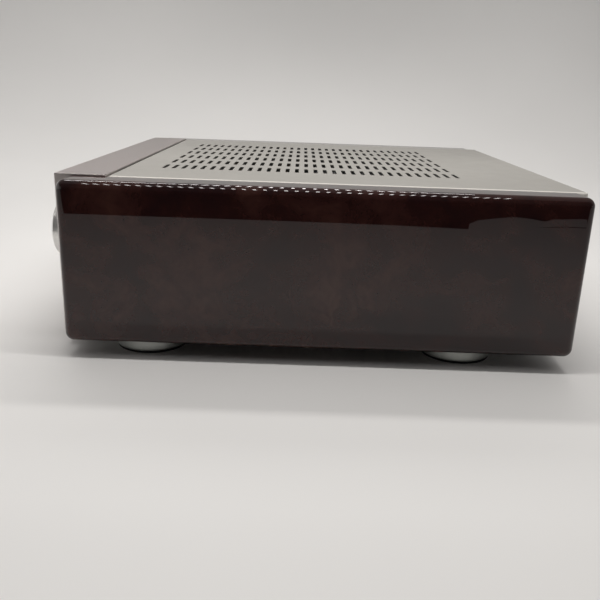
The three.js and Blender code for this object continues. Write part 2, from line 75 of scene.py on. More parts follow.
# ------------------------------------------------------------------ material helpers
class Nodes:
    def __init__(self, name):
        self.mat = bpy.data.materials.new(name)
        self.mat.use_nodes = True
        self.nt = self.mat.node_tree
        self.nt.nodes.clear()
        self.out = self.nt.nodes.new("ShaderNodeOutputMaterial")
        self.b = self.nt.nodes.new("ShaderNodeBsdfPrincipled")
        self.nt.links.new(self.b.outputs[0], self.out.inputs[0])
        self.tc = self.nt.nodes.new("ShaderNodeTexCoord")
        self.obj = self.tc.outputs["Object"]

    def new(self, kind):
        return self.nt.nodes.new(kind)

    def link(self, a, b):
        self.nt.links.new(a, b)

    def put(self, socket, value):
        if hasattr(value, "is_linked") or isinstance(value, bpy.types.NodeSocket):
            self.link(value, socket)
        else:
            socket.default_value = value

    def scale(self, vec, s):
        n = self.new("ShaderNodeMapping")
        self.link(vec, n.inputs["Vector"])
        n.inputs["Scale"].default_value = s
        return n.outputs[0]

    def noise(self, vec, scale, detail=3.0, rough=0.5, dist=0.0, color=False):
        n = self.new("ShaderNodeTexNoise")
        self.link(vec, n.inputs["Vector"])
        n.inputs["Scale"].default_value = scale
        n.inputs["Detail"].default_value = detail
        n.inputs["Roughness"].default_value = rough
        n.inputs["Distortion"].default_value = dist
        return n.outputs["Color" if color else "Fac"]

    def voronoi(self, vec, scale, feature="F1", rand=1.0, out="Distance"):
        n = self.new("ShaderNodeTexVoronoi")
        n.feature = feature
        self.link(vec, n.inputs["Vector"])
        n.inputs["Scale"].default_value = scale
        n.inputs["Randomness"].default_value = rand
        return n.outputs[out]

    def wave(self, vec, scale, dist=0.0, detail=2.0, dscale=1.0, axis="X", kind="BANDS"):
        n = self.new("ShaderNodeTexWave")
        n.wave_type = kind
        if kind == "BANDS":
            n.bands_direction = axis
        else:
            n.rings_direction = axis
        self.link(vec, n.inputs["Vector"])
        n.inputs["Scale"].default_value = scale
        n.inputs["Distortion"].default_value = dist
        n.inputs["Detail"].default_value = detail
        n.inputs["Detail Scale"].default_value = dscale
        return n.outputs["Fac"]

    def ramp(self, fac, stops, interp="LINEAR"):
        n = self.new("ShaderNodeValToRGB")
        n.color_ramp.interpolation = interp
        e = n.color_ramp.elements
        while len(e) < len(stops):
            e.new(0.5)
        for k, (p, c) in enumerate(stops):
            e[k].position = p
            e[k].color = (*c, 1) if len(c) == 3 else c
        self.link(fac, n.inputs[0])
        return n.outputs[0]

    def mix(self, fac, a, b, blend="MIX"):
        n = self.new("ShaderNodeMix")
        n.data_type = "RGBA"
        n.blend_type = blend
        self.put(n.inputs[0], fac)
        for s, v in ((n.inputs[6], a), (n.inputs[7], b)):
            self.put(s, (*v, 1) if isinstance(v, tuple) and len(v) == 3 else v)
        return n.outputs[2]

    def math(self, op, a, b=None, c=None, clamp=False):
        n = self.new("ShaderNodeMath")
        n.operation = op
        n.use_clamp = clamp
        self.put(n.inputs[0], a)
        if b is not None:
            self.put(n.inputs[1], b)
        if c is not None:
            self.put(n.inputs[2], c)
        return n.outputs[0]

    def vmath(self, op, a, b):
        n = self.new("ShaderNodeVectorMath")
        n.operation = op
        self.put(n.inputs[0], a)
        if op == "SCALE":
            self.put(n.inputs["Scale"], b)
        else:
            self.put(n.inputs[1], b)
        return n.outputs[0]

    def range(self, v, a, b, c, d, smooth=False):
        n = self.new("ShaderNodeMapRange")
        if smooth:
            n.interpolation_type = "SMOOTHSTEP"
        self.link(v, n.inputs["Value"])
        for k, x in zip(("From Min", "From Max", "To Min", "To Max"), (a, b, c, d)):
            n.inputs[k].default_value = x
        return n.outputs["Result"]

    def sep(self, v):
        n = self.new("ShaderNodeSeparateXYZ")
        self.link(v, n.inputs[0])
        return n.outputs

    def comb(self, x, y, z):
        n = self.new("ShaderNodeCombineXYZ")
        for s, v in zip(n.inputs, (x, y, z)):
            self.put(s, v)
        return n.outputs[0]

    def bump(self, height, strength, distance, normal=None):
        n = self.new("ShaderNodeBump")
        n.inputs["Strength"].default_value = strength
        n.inputs["Distance"].default_value = distance
        self.link(height, n.inputs["Height"])
        if normal is not None:
            self.link(normal, n.inputs["Normal"])
        return n.outputs[0]

    def set(self, **kw):
        names = dict(base="Base Color", rough="Roughness", metal="Metallic", ior="IOR", spec="Specular IOR Level",
                     coat="Coat Weight", coat_rough="Coat Roughness", coat_ior="Coat IOR", normal="Normal",
                     aniso="Anisotropic", sheen="Sheen Weight", trans="Transmission Weight",
                     sss="Subsurface Weight", emit="Emission Color", emit_s="Emission Strength", coat_normal="Coat Normal",
                     coat_tint="Coat Tint")
        for k, v in kw.items():
            s = self.b.inputs[names[k]]
            self.put(s, (*v, 1) if isinstance(v, tuple) and len(v) == 3 and s.type == "RGBA" else v)
        return self


def variegated(n, base, amount=0.05, scale=30, detail=4):
    """base colour with soft brightness clouds"""
    f = n.noise(n.obj, scale, detail, 0.6)
    lo = tuple(max(c * (1 - amount), 0) for c in base)
    hi = tuple(c * (1 + amount) for c in base)
    return n.ramp(f, [(0.3, lo), (0.7, hi)])


def make_burl():
    n = Nodes("burl_lacquer")
    warp = n.noise(n.obj, 13, 3, 0.55, 0.4, color=True)
    w = n.vmath("ADD", n.obj, n.vmath("SCALE", n.vmath("SUBTRACT", warp, (0.5, 0.5, 0.5)), 0.055))
    warp2 = n.noise(w, 60, 4, 0.6, 0.0, color=True)
    w2 = n.vmath("ADD", w, n.vmath("SCALE", n.vmath("SUBTRACT", warp2, (0.5, 0.5, 0.5)), 0.012))
    clouds = n.noise(w2, 19, 5, 0.58, 0.6)
    blotch = n.noise(n.obj, 7.5, 3, 0.5, 0.8)
    swirl = n.wave(w2, 7.5, 14.0, 5.0, 1.6, axis="DIAGONAL")
    fine = n.noise(w2, 210, 8, 0.72)
    pores = n.noise(n.scale(w2, (1, 1, 1)), 700, 4, 0.6)
    eyes = n.voronoi(w2, 42, "SMOOTH_F1")
    eye_ring = n.math("MULTIPLY_ADD", n.math("SINE", n.math("MULTIPLY", eyes, 34.0)), 0.5, 0.5)
    cluster = n.range(n.noise(n.obj, 11, 2, 0.5, 0.5), 0.52, 0.66, 0.0, 1.0, smooth=True)
    f = n.math("MULTIPLY_ADD", clouds, 0.55, n.math("MULTIPLY", blotch, 0.45))
    f = n.math("ADD", f, n.math("MULTIPLY", n.math("SUBTRACT", swirl, 0.5), 0.13))
    f = n.math("ADD", f, n.math("MULTIPLY", n.math("SUBTRACT", fine, 0.5), 0.20))
    f = n.math("ADD", f, n.math("MULTIPLY", n.math("MULTIPLY", n.math("SUBTRACT", eye_ring, 0.5), cluster), 0.085))
    col = n.ramp(f, [(0.30, (0.0098, 0.0031, 0.0036)), (0.42, (0.0158, 0.0047, 0.0050)), (0.50, (0.0235, 0.0066, 0.0058)),
                     (0.60, (0.0340, 0.0110, 0.0092)), (0.74, (0.0540, 0.0220, 0.0165))])
    dark = n.range(pores, 0.60, 0.72, 1.0, 0.62)
    col = n.mix(1.0, col, n.comb(dark, dark, dark), "MULTIPLY")
    n.set(base=col, rough=n.range(clouds, 0.3, 0.7, 0.5, 0.65), spec=0.0, coat=1.0, coat_rough=0.012, coat_ior=1.5)
    n.set(normal=n.bump(fine, 0.12, 0.0004))
    return n.mat


def make_cover():
    n = Nodes("cover_paint")
    base = variegated(n, (0.325, 0.312, 0.290), 0.03, 9, 3)
    grit = n.noise(n.obj, 2600, 3, 0.6)
    peel = n.noise(n.obj, 420, 2, 0.5)
    s_ = n.sep(n.obj)
    side = n.math("ABSOLUTE", s_[0])
    # painted highlight: the paint is brightened up to 2.1 times along both side folds of the cover
    painted_fold_highlight = n.range(side, 0.1880, 0.1890, 1.0, 2.1, smooth=True)
    # painted shade: inside the slot field, everything below the top face (slot walls and underside) is darkened to 0.28
    # of the paint colour
    slot_wall_shade = n.range(s_[2], 0.1426, 0.1430, 0.28, 1.0, smooth=True)
    grid = n.math("MULTIPLY", n.range(side, 0.150, 0.151, 1.0, 0.0), n.range(s_[1], 0.160, 0.161, 1.0, 0.0))
    painted_slot_shade = n.math("MULTIPLY", grid, n.math("SUBTRACT", 1.0, slot_wall_shade))
    # painted light: the fold highlight and the slot shade are multiplied into the paint colour
    painted_light_factor = n.math("MULTIPLY", painted_fold_highlight, n.math("SUBTRACT", 1.0, painted_slot_shade))
    # painted shade: the paint also grows darker, down to 0.84, towards the far (-X) side of the cover
    painted_light_factor = n.math("MULTIPLY", painted_light_factor, n.range(s_[0], -0.190, 0.040, 0.84, 1.0, smooth=True))
    base = n.mix(1.0, base, n.comb(painted_light_factor, painted_light_factor, painted_light_factor), "MULTIPLY")
    n.set(base=base, metal=0.0, spec=0.06, rough=n.range(n.noise(n.obj, 55, 4, 0.6), 0.3, 0.7, 0.44, 0.52))
    nb = n.bump(peel, 0.06, 0.0003)
    n.set(normal=n.bump(grit, 0.10, 0.00008, nb))
    return n.mat


def make_panel():
    n = Nodes("panel_silver")
    hair = n.noise(n.scale(n.obj, (14, 900, 900)), 3.0, 4, 0.7)
    hair2 = n.noise(n.scale(n.obj, (50, 3000, 3000)), 3.0, 3, 0.7)
    c = n.ramp(hair, [(0.3, (0.54, 0.495, 0.48)), (0.7, (0.585, 0.54, 0.525))])
    n.set(base=c, metal=1.0, rough=n.range(hair, 0.3, 0.7, 0.36, 0.44))
    n.set(normal=n.bump(hair2, 0.05, 0.00005))
    return n.mat


def make_turned(name, color, axis, centre, rough=0.24):
    """silver metal with fine concentric tool marks around an axis through centre"""
    n = Nodes(name)
    p = n.vmath("SUBTRACT", n.obj, centre)
    s = n.sep(p)
    a, b = (s[0], s[2]) if axis == "Y" else (s[0], s[1])
    r = n.math("SQRT", n.math("ADD", n.math("MULTIPLY", a, a), n.math("MULTIPLY", b, b)))
    along = s[1] if axis == "Y" else s[2]
    v = n.comb(n.math("MULTIPLY", r, 1.0), n.math("MULTIPLY", along, 1.0), 0.0)
    rings = n.noise(v, 2600, 3, 0.65)
    wide = n.noise(v, 320, 3, 0.6)
    lo = tuple(c * 0.93 for c in color)
    hi = tuple(min(c * 1.05, 1) for c in color)
    n.set(base=n.ramp(wide, [(0.3, lo), (0.7, hi)]), metal=1.0, rough=n.range(rings, 0.3, 0.7, rough - 0.04, rough + 0.06))
    n.set(normal=n.bump(rings, 0.10, 0.00006))
    return n.mat


def make_metal(name, color, rough=0.35, stretch=(1, 1, 1), scale=300, amount=0.06, bump=0.05, dist=0.0001):
    n = Nodes(name)
    f = n.noise(n.scale(n.obj, stretch), scale, 4, 0.65)
    lo = tuple(c * (1 - amount) for c in color)
    hi = tuple(min(c * (1 + amount), 1) for c in color)
    n.set(base=n.ramp(f, [(0.3, lo), (0.7, hi)]), metal=1.0, rough=n.range(f, 0.3, 0.7, rough - 0.05, rough + 0.07))
    n.set(normal=n.bump(f, bump, dist))
    return n.mat


def make_plastic(name, color, rough=0.4, grain=1800, bump=0.10, dist=0.00008, amount=0.08, coat=0.0, spec=0.5):
    n = Nodes(name)
    f = n.noise(n.obj, grain, 3, 0.6)
    g = n.noise(n.obj, 60, 3, 0.6)
    lo = tuple(c * (1 - amount) for c in color)
    hi = tuple(c * (1 + amount) for c in color)
    n.set(base=n.ramp(g, [(0.3, lo), (0.7, hi)]), rough=n.range(f, 0.3, 0.7, rough - 0.04, rough + 0.06), spec=spec,
          coat=coat, coat_rough=0.08)
    n.set(normal=n.bump(f, bump, dist))
    return n.mat


def make_zinc():
    n = Nodes("steel")
    cells = n.voronoi(n.obj, 55, "F1", out="Color")
    s = n.sep(cells)
    f = n.noise(n.obj, 160, 4, 0.6)
    m_ = n.math("MULTIPLY_ADD", s[0], 0.35, n.math("MULTIPLY", f, 0.65))
    n.set(base=n.ramp(m_, [(0.3, (0.30, 0.31, 0.315)), (0.7, (0.42, 0.43, 0.44))]), metal=1.0,
          rough=n.range(m_, 0.3, 0.7, 0.30, 0.46))
    n.set(normal=n.bump(f, 0.06, 0.0001))
    return n.mat


def make_board(name, lo, hi, line):
    """circuit board: mask colour over a faint pattern of tracks"""
    n = Nodes(name)
    grid = n.new("ShaderNodeTexBrick")
    grid.offset = 0.37
    n.link(n.scale(n.obj, (1, 1, 1)), grid.inputs["Vector"])
    grid.inputs["Scale"].default_value = 70
    grid.inputs["Mortar Size"].default_value = 0.035
    grid.inputs["Color1"].default_value = (*lo, 1)
    grid.inputs["Color2"].default_value = (*hi, 1)
    grid.inputs["Mortar"].default_value = (*line, 1)
    f = n.noise(n.obj, 90, 4, 0.6)
    c = n.mix(n.range(f, 0.35, 0.65, 0.15, 0.85), grid.outputs["Color"], hi)
    n.set(base=c, rough=n.range(f, 0.3, 0.7, 0.3, 0.45))
    n.set(normal=n.bump(f, 0.1, 0.0001))
    return n.mat


def make_tape():
    """amber tape wound round a ring: overlapping radial turns"""
    n = Nodes("winding_tape")
    p = n.vmath("SUBTRACT", n.obj, (-0.096, -0.092, 0.0))
    s = n.sep(p)
    ang = n.math("ARCTAN2", s[1], s[0])
    t = n.math("FRACT", n.math("MULTIPLY", ang, 64 / (2 * pi)))
    f = n.noise(n.obj, 180, 4, 0.6)
    c = n.ramp(t, [(0.0, (0.20, 0.10, 0.025)), (0.10, (0.52, 0.30, 0.085)), (0.9, (0.60, 0.36, 0.11)), (1.0, (0.36, 0.2, 0.06))])
    c = n.mix(0.25, c, n.ramp(f, [(0.3, (0.35, 0.19, 0.05)), (0.7, (0.68, 0.43, 0.15))]))
    n.set(base=c, rough=n.range(f, 0.3, 0.7, 0.24, 0.4), coat=0.3, coat_rough=0.15)
    n.set(normal=n.bump(t, 0.35, 0.0006))
    return n.mat


MAT = {}
MAT["burl"] = make_burl()
MAT["cover"] = make_cover()
MAT["panel"] = make_panel()
MAT["steel"] = make_zinc()
MAT["screw"] = make_metal("screw_black", (0.06, 0.06, 0.065), 0.32)
MAT["screw_bright"] = make_metal("screw_bright", (0.66, 0.65, 0.62), 0.25)
MAT["brass"] = make_metal("gold_plate", (0.83, 0.62, 0.26), 0.20, scale=900)
MAT["rear"] = make_plastic("rear_black", (0.022, 0.022, 0.024), 0.42, grain=900, bump=0.25, dist=0.00015)
MAT["plastic"] = make_plastic("moulded_black", (0.020, 0.020, 0.021), 0.45)
MAT["rubber"] = make_plastic("foot_rubber", (0.018, 0.018, 0.018), 0.75, grain=1200, bump=0.3, dist=0.00015, spec=0.3)
MAT["cap_black"] = make_plastic("terminal_black", (0.022, 0.022, 0.023), 0.22, bump=0.03, coat=0.4)
MAT["cap_red"] = make_plastic("terminal_red", (0.42, 0.020, 0.014), 0.22, bump=0.03, coat=0.4)
MAT["ring_white"] = make_plastic("insulator_white", (0.66, 0.65, 0.62), 0.35, bump=0.04)
MAT["ring_red"] = make_plastic("insulator_red", (0.45, 0.03, 0.02), 0.35, bump=0.04)
MAT["sink"] = make_metal("black_anodised", (0.035, 0.035, 0.038), 0.40, (1, 1, 0.05), 700)
MAT["green"] = make_board("board_green", (0.035, 0.075, 0.028), (0.055, 0.11, 0.04), (0.09, 0.17, 0.06))
MAT["brown"] = make_board("board_brown", (0.26, 0.15, 0.06), (0.36, 0.22, 0.10), (0.20, 0.11, 0.05))
MAT["tape"] = make_tape()
MAT["sleeve"] = make_plastic("capacitor_sleeve", (0.018, 0.030, 0.055), 0.25, bump=0.03, coat=0.5)
MAT["can_top"] = make_metal("can_top", (0.72, 0.72, 0.72), 0.30)
MAT["mark"] = make_plastic("printed_mark", (0.035, 0.033, 0.032), 0.5, bump=0.05)
MAT["film"] = make_plastic("film_capacitor", (0.45, 0.24, 0.05), 0.35, bump=0.04)
MAT["film2"] = make_plastic("film_capacitor_green", (0.06, 0.15, 0.06), 0.35, bump=0.04)
MAT["resistor"] = make_plastic("resistor_body", (0.30, 0.22, 0.13), 0.5)
MAT["chip"] = make_plastic("chip_black", (0.025, 0.025, 0.026), 0.35)
MAT["tinned"] = make_metal("tinned_lead", (0.70, 0.70, 0.69), 0.3)


# ------------------------------------------------------------------ mesh helpers (all sizes in mm)
def absorb(bm, other, mat_index=0):
    for f in other.faces:
        f.material_index = mat_index
    me = bpy.data.meshes.new("tmp")
    other.to_mesh(me)
    other.free()
    bm.from_mesh(me)
    bpy.data.meshes.remove(me)


def finish_object(name, bm, mats, body="root", cad=(), sharp=32, weighted=True, smooth=True):
    bmesh.ops.scale(bm, vec=(M, M, M), verts=bm.verts)
    bm.normal_update()
    me = bpy.data.meshes.new(name)
    bm.to_mesh(me)
    bm.free()
    for x in mats if isinstance(mats, (list, tuple)) else [mats]:
        me.materials.append(x)
    if smooth:
        me.polygons.foreach_set("use_smooth", [True] * len(me.polygons))
        me.set_sharp_from_angle(angle=radians(sharp))
    ob = bpy.data.objects.new(name, me)
    scene.collection.objects.link(ob)
    if weighted:
        w = ob.modifiers.new("weighted", "WEIGHTED_NORMAL")
        w.keep_sharp = True
        w.weight = 60
    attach(ob, body)
    if cad:
        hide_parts(*cad)
    return ob


def bm_box(x0, x1, y0, y1, z0, z1, bevel=0.0, seg=2):
    bm = bmesh.new()
    bmesh.ops.create_cube(bm, size=1.0)
    bmesh.ops.scale(bm, vec=(x1 - x0, y1 - y0, z1 - z0), verts=bm.verts)
    bmesh.ops.translate(bm, vec=((x0 + x1) / 2, (y0 + y1) / 2, (z0 + z1) / 2), verts=bm.verts)
    if bevel:
        bmesh.ops.bevel(bm, geom=list(bm.edges), offset=bevel, segments=seg, profile=0.5, affect="EDGES")
    return bm


def bm_loops(loops, close_start=True, close_end=True, closed_ring=False):
    """skin a list of equal-length rings of points"""
    bm = bmesh.new()
    rings = [[bm.verts.new(p) for p in loop] for loop in loops]
    n = len(rings[0])
    pairs = list(zip(rings, rings[1:]))
    if closed_ring:
        pairs.append((rings[-1], rings[0]))
    for a, b in pairs:
        for i in range(n):
            j = (i + 1) % n
            bm.faces.new((a[i], a[j], b[j], b[i]))
    if not closed_ring:
        if close_start:
            bm.faces.new(list(reversed(rings[0])))
        if close_end:
            bm.faces.new(rings[-1])
    return bm


def orient(bm):
    bmesh.ops.recalc_face_normals(bm, faces=bm.faces)
    return bm


AX = {
    "Z": lambda a, b, h: (a, b, h),
    "Y": lambda a, b, h: (a, h, b),
    "X": lambda a, b, h: (h, a, b),
}


def lathe(points, n=64, axis="Z", at=(0, 0, 0), shape=None, fan=True):
    """turned body from (radius, height) points, axis end to axis end; shape(theta, radius, index) may bend a ring.
    Ends whose radius is 0 close in a point."""
    bm = bmesh.new()
    rings = []
    for k, (r, h) in enumerate(points):
        if r <= 1e-9:
            p = AX[axis](0, 0, h)
            rings.append([bm.verts.new((p[0] + at[0], p[1] + at[1], p[2] + at[2]))])
            continue
        ring = []
        for i in range(n):
            t = 2 * pi * i / n
            rr = shape(t, r, k) if shape else r
            p = AX[axis](rr * cos(t), rr * sin(t), h)
            ring.append(bm.verts.new((p[0] + at[0], p[1] + at[1], p[2] + at[2])))
        rings.append(ring)
    for a, b in zip(rings, rings[1:]):
        if len(a) == 1 and len(b) == 1:
            continue
        for i in range(n):
            j = (i + 1) % n
            if len(a) == 1:
                bm.faces.new((a[0], b[j], b[i]))
            elif len(b) == 1:
                bm.faces.new((a[i], a[j], b[0]))
            else:
                bm.faces.new((a[i], a[j], b[j], b[i]))
    return orient(bm)


def arc(cx, cy, r, a0, a1, n):
    return [(cx + r * cos(radians(a0 + (a1 - a0) * i / n)), cy + r * sin(radians(a0 + (a1 - a0) * i / n))) for i in range(n + 1)]


def hex_radius(t, flat):
    a = (t % (pi / 3)) - pi / 6
    return flat / cos(a)


def cross_radius(t, length, half):
    a = ((t + pi / 4) % (pi / 2)) - pi / 4
    return min(length / max(cos(a), 1e-6), half / max(abs(sin(a)), 1e-6))


def screw(bm, at, axis, sign, r=2.9, h=1.7, kind="cross", mat_index=0):
    """pan-head screw with a real recess; it stands off the surface at `at`, along sign * axis"""
    pts = [(r, 0)] + [(r - 0.9 + 0.9 * cos(radians(a)), (h - 0.9) + 0.9 * sin(radians(a))) for a in (0, 25, 50, 75, 90)]
    k0 = len(pts)
    pts += [(r * 0.66, h + 0.12), (0.62 * r, h + 0.12), (0.42 * r, h - 0.9), (0, h - 1.0)]
    pts = [(0, -0.4), (r * 0.9, -0.4)] + pts

    def shape(t, rr, k):
        if k == k0 + 3:
            return (hex_radius(t, 0.46 * r) if kind == "hex" else cross_radius(t, 0.58 * r, 0.17 * r))
        if k == k0 + 4:
            return (hex_radius(t, 0.42 * r) if kind == "hex" else cross_radius(t, 0.36 * r, 0.13 * r))
        return rr

    b = lathe([(a, sign * c) for a, c in pts], 48, axis, at, shape)
    absorb(bm, b, mat_index)


def evaluated_boolean(bm, cutters, scale=1.0):
    """bm minus every cutter, exact"""
    def ob(b, name):
        me = bpy.data.meshes.new(name)
        b.to_mesh(me)
        b.free()
        o = bpy.data.objects.new(name, me)
        scene.collection.objects.link(o)
        return o
    base = ob(bm, "base_tmp")
    cut_bm = bmesh.new()
    for c in cutters:
        absorb(cut_bm, c)
    cut = ob(cut_bm, "cut_tmp")
    md = base.modifiers.new("b", "BOOLEAN")
    md.operation = "DIFFERENCE"
    md.solver = "EXACT"
    md.object = cut
    dg = bpy.context.evaluated_depsgraph_get()
    dg.update()
    res = bmesh.new()
    me = base.evaluated_get(dg).to_mesh()
    res.from_mesh(me)
    base.evaluated_get(dg).to_mesh_clear()
    for o in (base, cut):
        d = o.data
        bpy.data.objects.remove(o)
        bpy.data.meshes.remove(d)
    bmesh.ops.remove_doubles(res, verts=res.verts, dist=1e-4)
    bmesh.ops.dissolve_degenerate(res, edges=res.edges, dist=1e-4)
    return res


def hole_cutter(x, z, r, y0, y1, chamfer_y=None, chamfer=0.5, n=64, back_y=None):
    """cylinder along Y that also opens a chamfer at the face y = chamfer_y (towards -Y)"""
    if chamfer_y is None:
        pts = [(0, y0), (r, y0), (r, y1), (0, y1)]
    else:
        pts = [(0, chamfer_y - 3), (r + chamfer + 3, chamfer_y - 3), (r + chamfer, chamfer_y), (r, chamfer_y + chamfer), (r, y1), (0, y1)]
    return lathe(pts, n, "Y", (x, 0, z))


def mm_box(node):
    lo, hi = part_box(node)
    return [v * 1000 for v in lo], [v * 1000 for v in hi]


# ------------------------------------------------------------------ side panels
def side_panel(name, side):
    lo, hi = mm_box(name)
    R = 7.0
    if side > 0:
        x0, x1 = lo[0] - 30, hi[0] - 0.001
    else:
        x0, x1 = lo[0] + 0.001, hi[0] + 30
    bm = bm_box(x0, x1, lo[1], hi[1], lo[2], hi[2], R, 14)
    xi = lo[0] if side > 0 else hi[0]
    geom = list(bm.verts) + list(bm.edges) + list(bm.faces)
    r = bmesh.ops.bisect_plane(bm, geom=geom, plane_co=(xi, 0, 0), plane_no=(side, 0, 0), clear_inner=True)
    edges = [e for e in r["geom_cut"] if isinstance(e, bmesh.types.BMEdge)]
    bmesh.ops.contextual_create(bm, geom=edges)
    orient(bm)
    return finish_object(name + "_lacquered", bm, MAT["burl"], "root", [name], sharp=50)


side_panel("side_panel_right", 1)
side_panel("side_panel_left", -1)


# ------------------------------------------------------------------ top cover
ROWS, COLS = 6, 32
ROW_PITCH, COL_PITCH = 44.59, 8.37
SLOT_Y0 = -136.1
SLOT_LEN, SLOT_W = 27.7, 3.5


def rounded_rect(x0, x1, y0, y1, r, n=5):
    pts = []
    for cx, cy, a in ((x1 - r, y0 + r, -90), (x1 - r, y1 - r, 0), (x0 + r, y1 - r, 90), (x0 + r, y0 + r, 180)):
        for i in range(n + 1):
            t = radians(a + 90 * i / n)
            pts.append((cx + r * cos(t), cy + r * sin(t)))
    return pts


def top_cover():
    lo, hi = mm_box("top_cover")
    top, t = hi[2], 1.5
    skirt = lo[2]
    bm = bmesh.new()
    key = {}

    def v(x, y, z):
        k = (round(x, 4), round(y, 4), round(z, 4))
        if k not in key:
            key[k] = bm.verts.new((x, y, z))
        return key[k]

    def stadium(cx, cy, grow):
        r = SLOT_W / 2 + grow
        hx = SLOT_LEN / 2 - SLOT_W / 2
        n = 6
        pts = []
        for i in range(n + 1):
            a = radians(-90 + 180 * i / n)
            pts.append((cx + hx + r * cos(a), cy + r * sin(a)))
        for i in range(n + 1):
            a = radians(90 + 180 * i / n)
            pts.append((cx - hx + r * cos(a), cy + r * sin(a)))
        return pts  # CCW from the lower right

    def cells(z, grow, flip):
        for i in range(ROWS):
            cx = (i - (ROWS - 1) / 2) * ROW_PITCH
            for j in range(COLS):
                cy = SLOT_Y0 + j * COL_PITCH
                x0, x1 = cx - ROW_PITCH / 2, cx + ROW_PITCH / 2
                y0, y1 = cy - COL_PITCH / 2, cy + COL_PITCH / 2
                p = stadium(cx, cy, grow)
                h = len(p) // 2            # 7 points on the right end, then 7 on the left end
                mid_r, mid_l = 3, 10
                upper = [(x1, cy), (x1, y1), (x0, y1), (x0, cy)] + [p[k] for k in range(mid_l, mid_r - 1, -1)]
                lower = [(x0, cy), (x0, y0), (x1, y0), (x1, cy)] + [p[k % 14] for k in range(mid_r + 14, mid_l - 1, -1)]
                for poly in (upper, lower):
                    vs = [v(a, b, z) for a, b in poly]
                    bm.faces.new(vs if not flip else list(reversed(vs)))

    cells(top, 0.22, False)
    cells(top - t, 0.0, True)
    for i in range(ROWS):
        cx = (i - (ROWS - 1) / 2) * ROW_PITCH
        for j in range(COLS):
            cy = SLOT_Y0 + j * COL_PITCH
            loops = [(0.22, top), (0.07, top - 0.07), (0.0, top - 0.22), (0.0, top - t)]
            for (g0, z0), (g1, z1) in zip(loops, loops[1:]):
                a, b = stadium(cx, cy, g0), stadium(cx, cy, g1)
                for k in range(14):
                    q = (k + 1) % 14
                    bm.faces.new([v(*a[k], z0), v(*b[k], z1), v(*b[q], z1), v(*a[q], z0)])
    fx0, fx1 = -ROWS / 2 * ROW_PITCH, ROWS / 2 * ROW_PITCH
    fy0, fy1 = SLOT_Y0 - COL_PITCH / 2, SLOT_Y0 + (COLS - 0.5) * COL_PITCH
    front = [(fx0 + i * ROW_PITCH, fy0) for i in range(ROWS + 1)]
    rear = [(fx1 - i * ROW_PITCH, fy1) for i in range(ROWS + 1)]
    rightside, leftside = [], []
    for j in range(COLS):
        cy = SLOT_Y0 + j * COL_PITCH
        rightside += [(fx1, cy - COL_PITCH / 2), (fx1, cy)]
        leftside += [(fx0, cy - COL_PITCH / 2), (fx0, cy)]
    rightside.append((fx1, fy1))
    leftside.append((fx0, fy1))
    leftside.reverse()

    def surround(inset, z, flip, corner):
        n = 5
        loop = rounded_rect(lo[0] + inset, hi[0] - inset, lo[1] + inset, hi[1] - inset, corner, n)
        L = len(loop)
        half = n // 2 + 1
        # corner order: front right (0..n), rear right, rear left, front left
        c = [half + k * (n + 1) for k in range(4)]
        def seg(a, b):
            out, k = [], a
            while True:
                out.append(loop[k % L])
                if k % L == b % L:
                    return out
                k += 1
        sides = [
            (seg(c[3], c[0] + L), front),
            (seg(c[0], c[1]), rightside),
            (seg(c[1], c[2]), rear),
            (seg(c[2], c[3]), leftside),
        ]
        for outer, inner in sides:
            vs = [v(a, b, z) for a, b in outer + list(reversed(inner))]
            bm.faces.new(vs if not flip else list(reversed(vs)))
        return loop

    FR = 1.9
    surround(FR, top, False, 1.2)
    rings = [(FR - FR * sin(radians(a)), top - FR * (1 - cos(radians(a)))) for a in (0, 18, 36, 54, 72, 90)]
    rings += [(0.0, skirt + 0.3), (0.3, skirt), (t - 0.1, skirt), (t, skirt + 0.3), (t, top - t - 0.9), (t + 0.9, top - t)]
    corner = [1.2 + FR * sin(radians(a)) for a in (0, 18, 36, 54, 72, 90)] + [3.1, 2.9, 1.9, 1.8, 1.8, 1.2]
    prev = None
    for (ins, z), cr in zip(rings, corner):
        loop = [(a, b, z) for a, b in rounded_rect(lo[0] + ins, hi[0] - ins, lo[1] + ins, hi[1] - ins, cr, 5)]
        if prev:
            for k in range(len(loop)):
                q = (k + 1) % len(loop)
                bm.faces.new([v(*prev[k]), v(*loop[k]), v(*loop[q]), v(*prev[q])])
        prev = loop
    surround(t + 0.9, top - t, True, 1.2)
    orient(bm)
    return finish_object("top_cover_sheet", bm, [MAT["cover"]], "root", ["top_cover"], sharp=40)


top_cover()


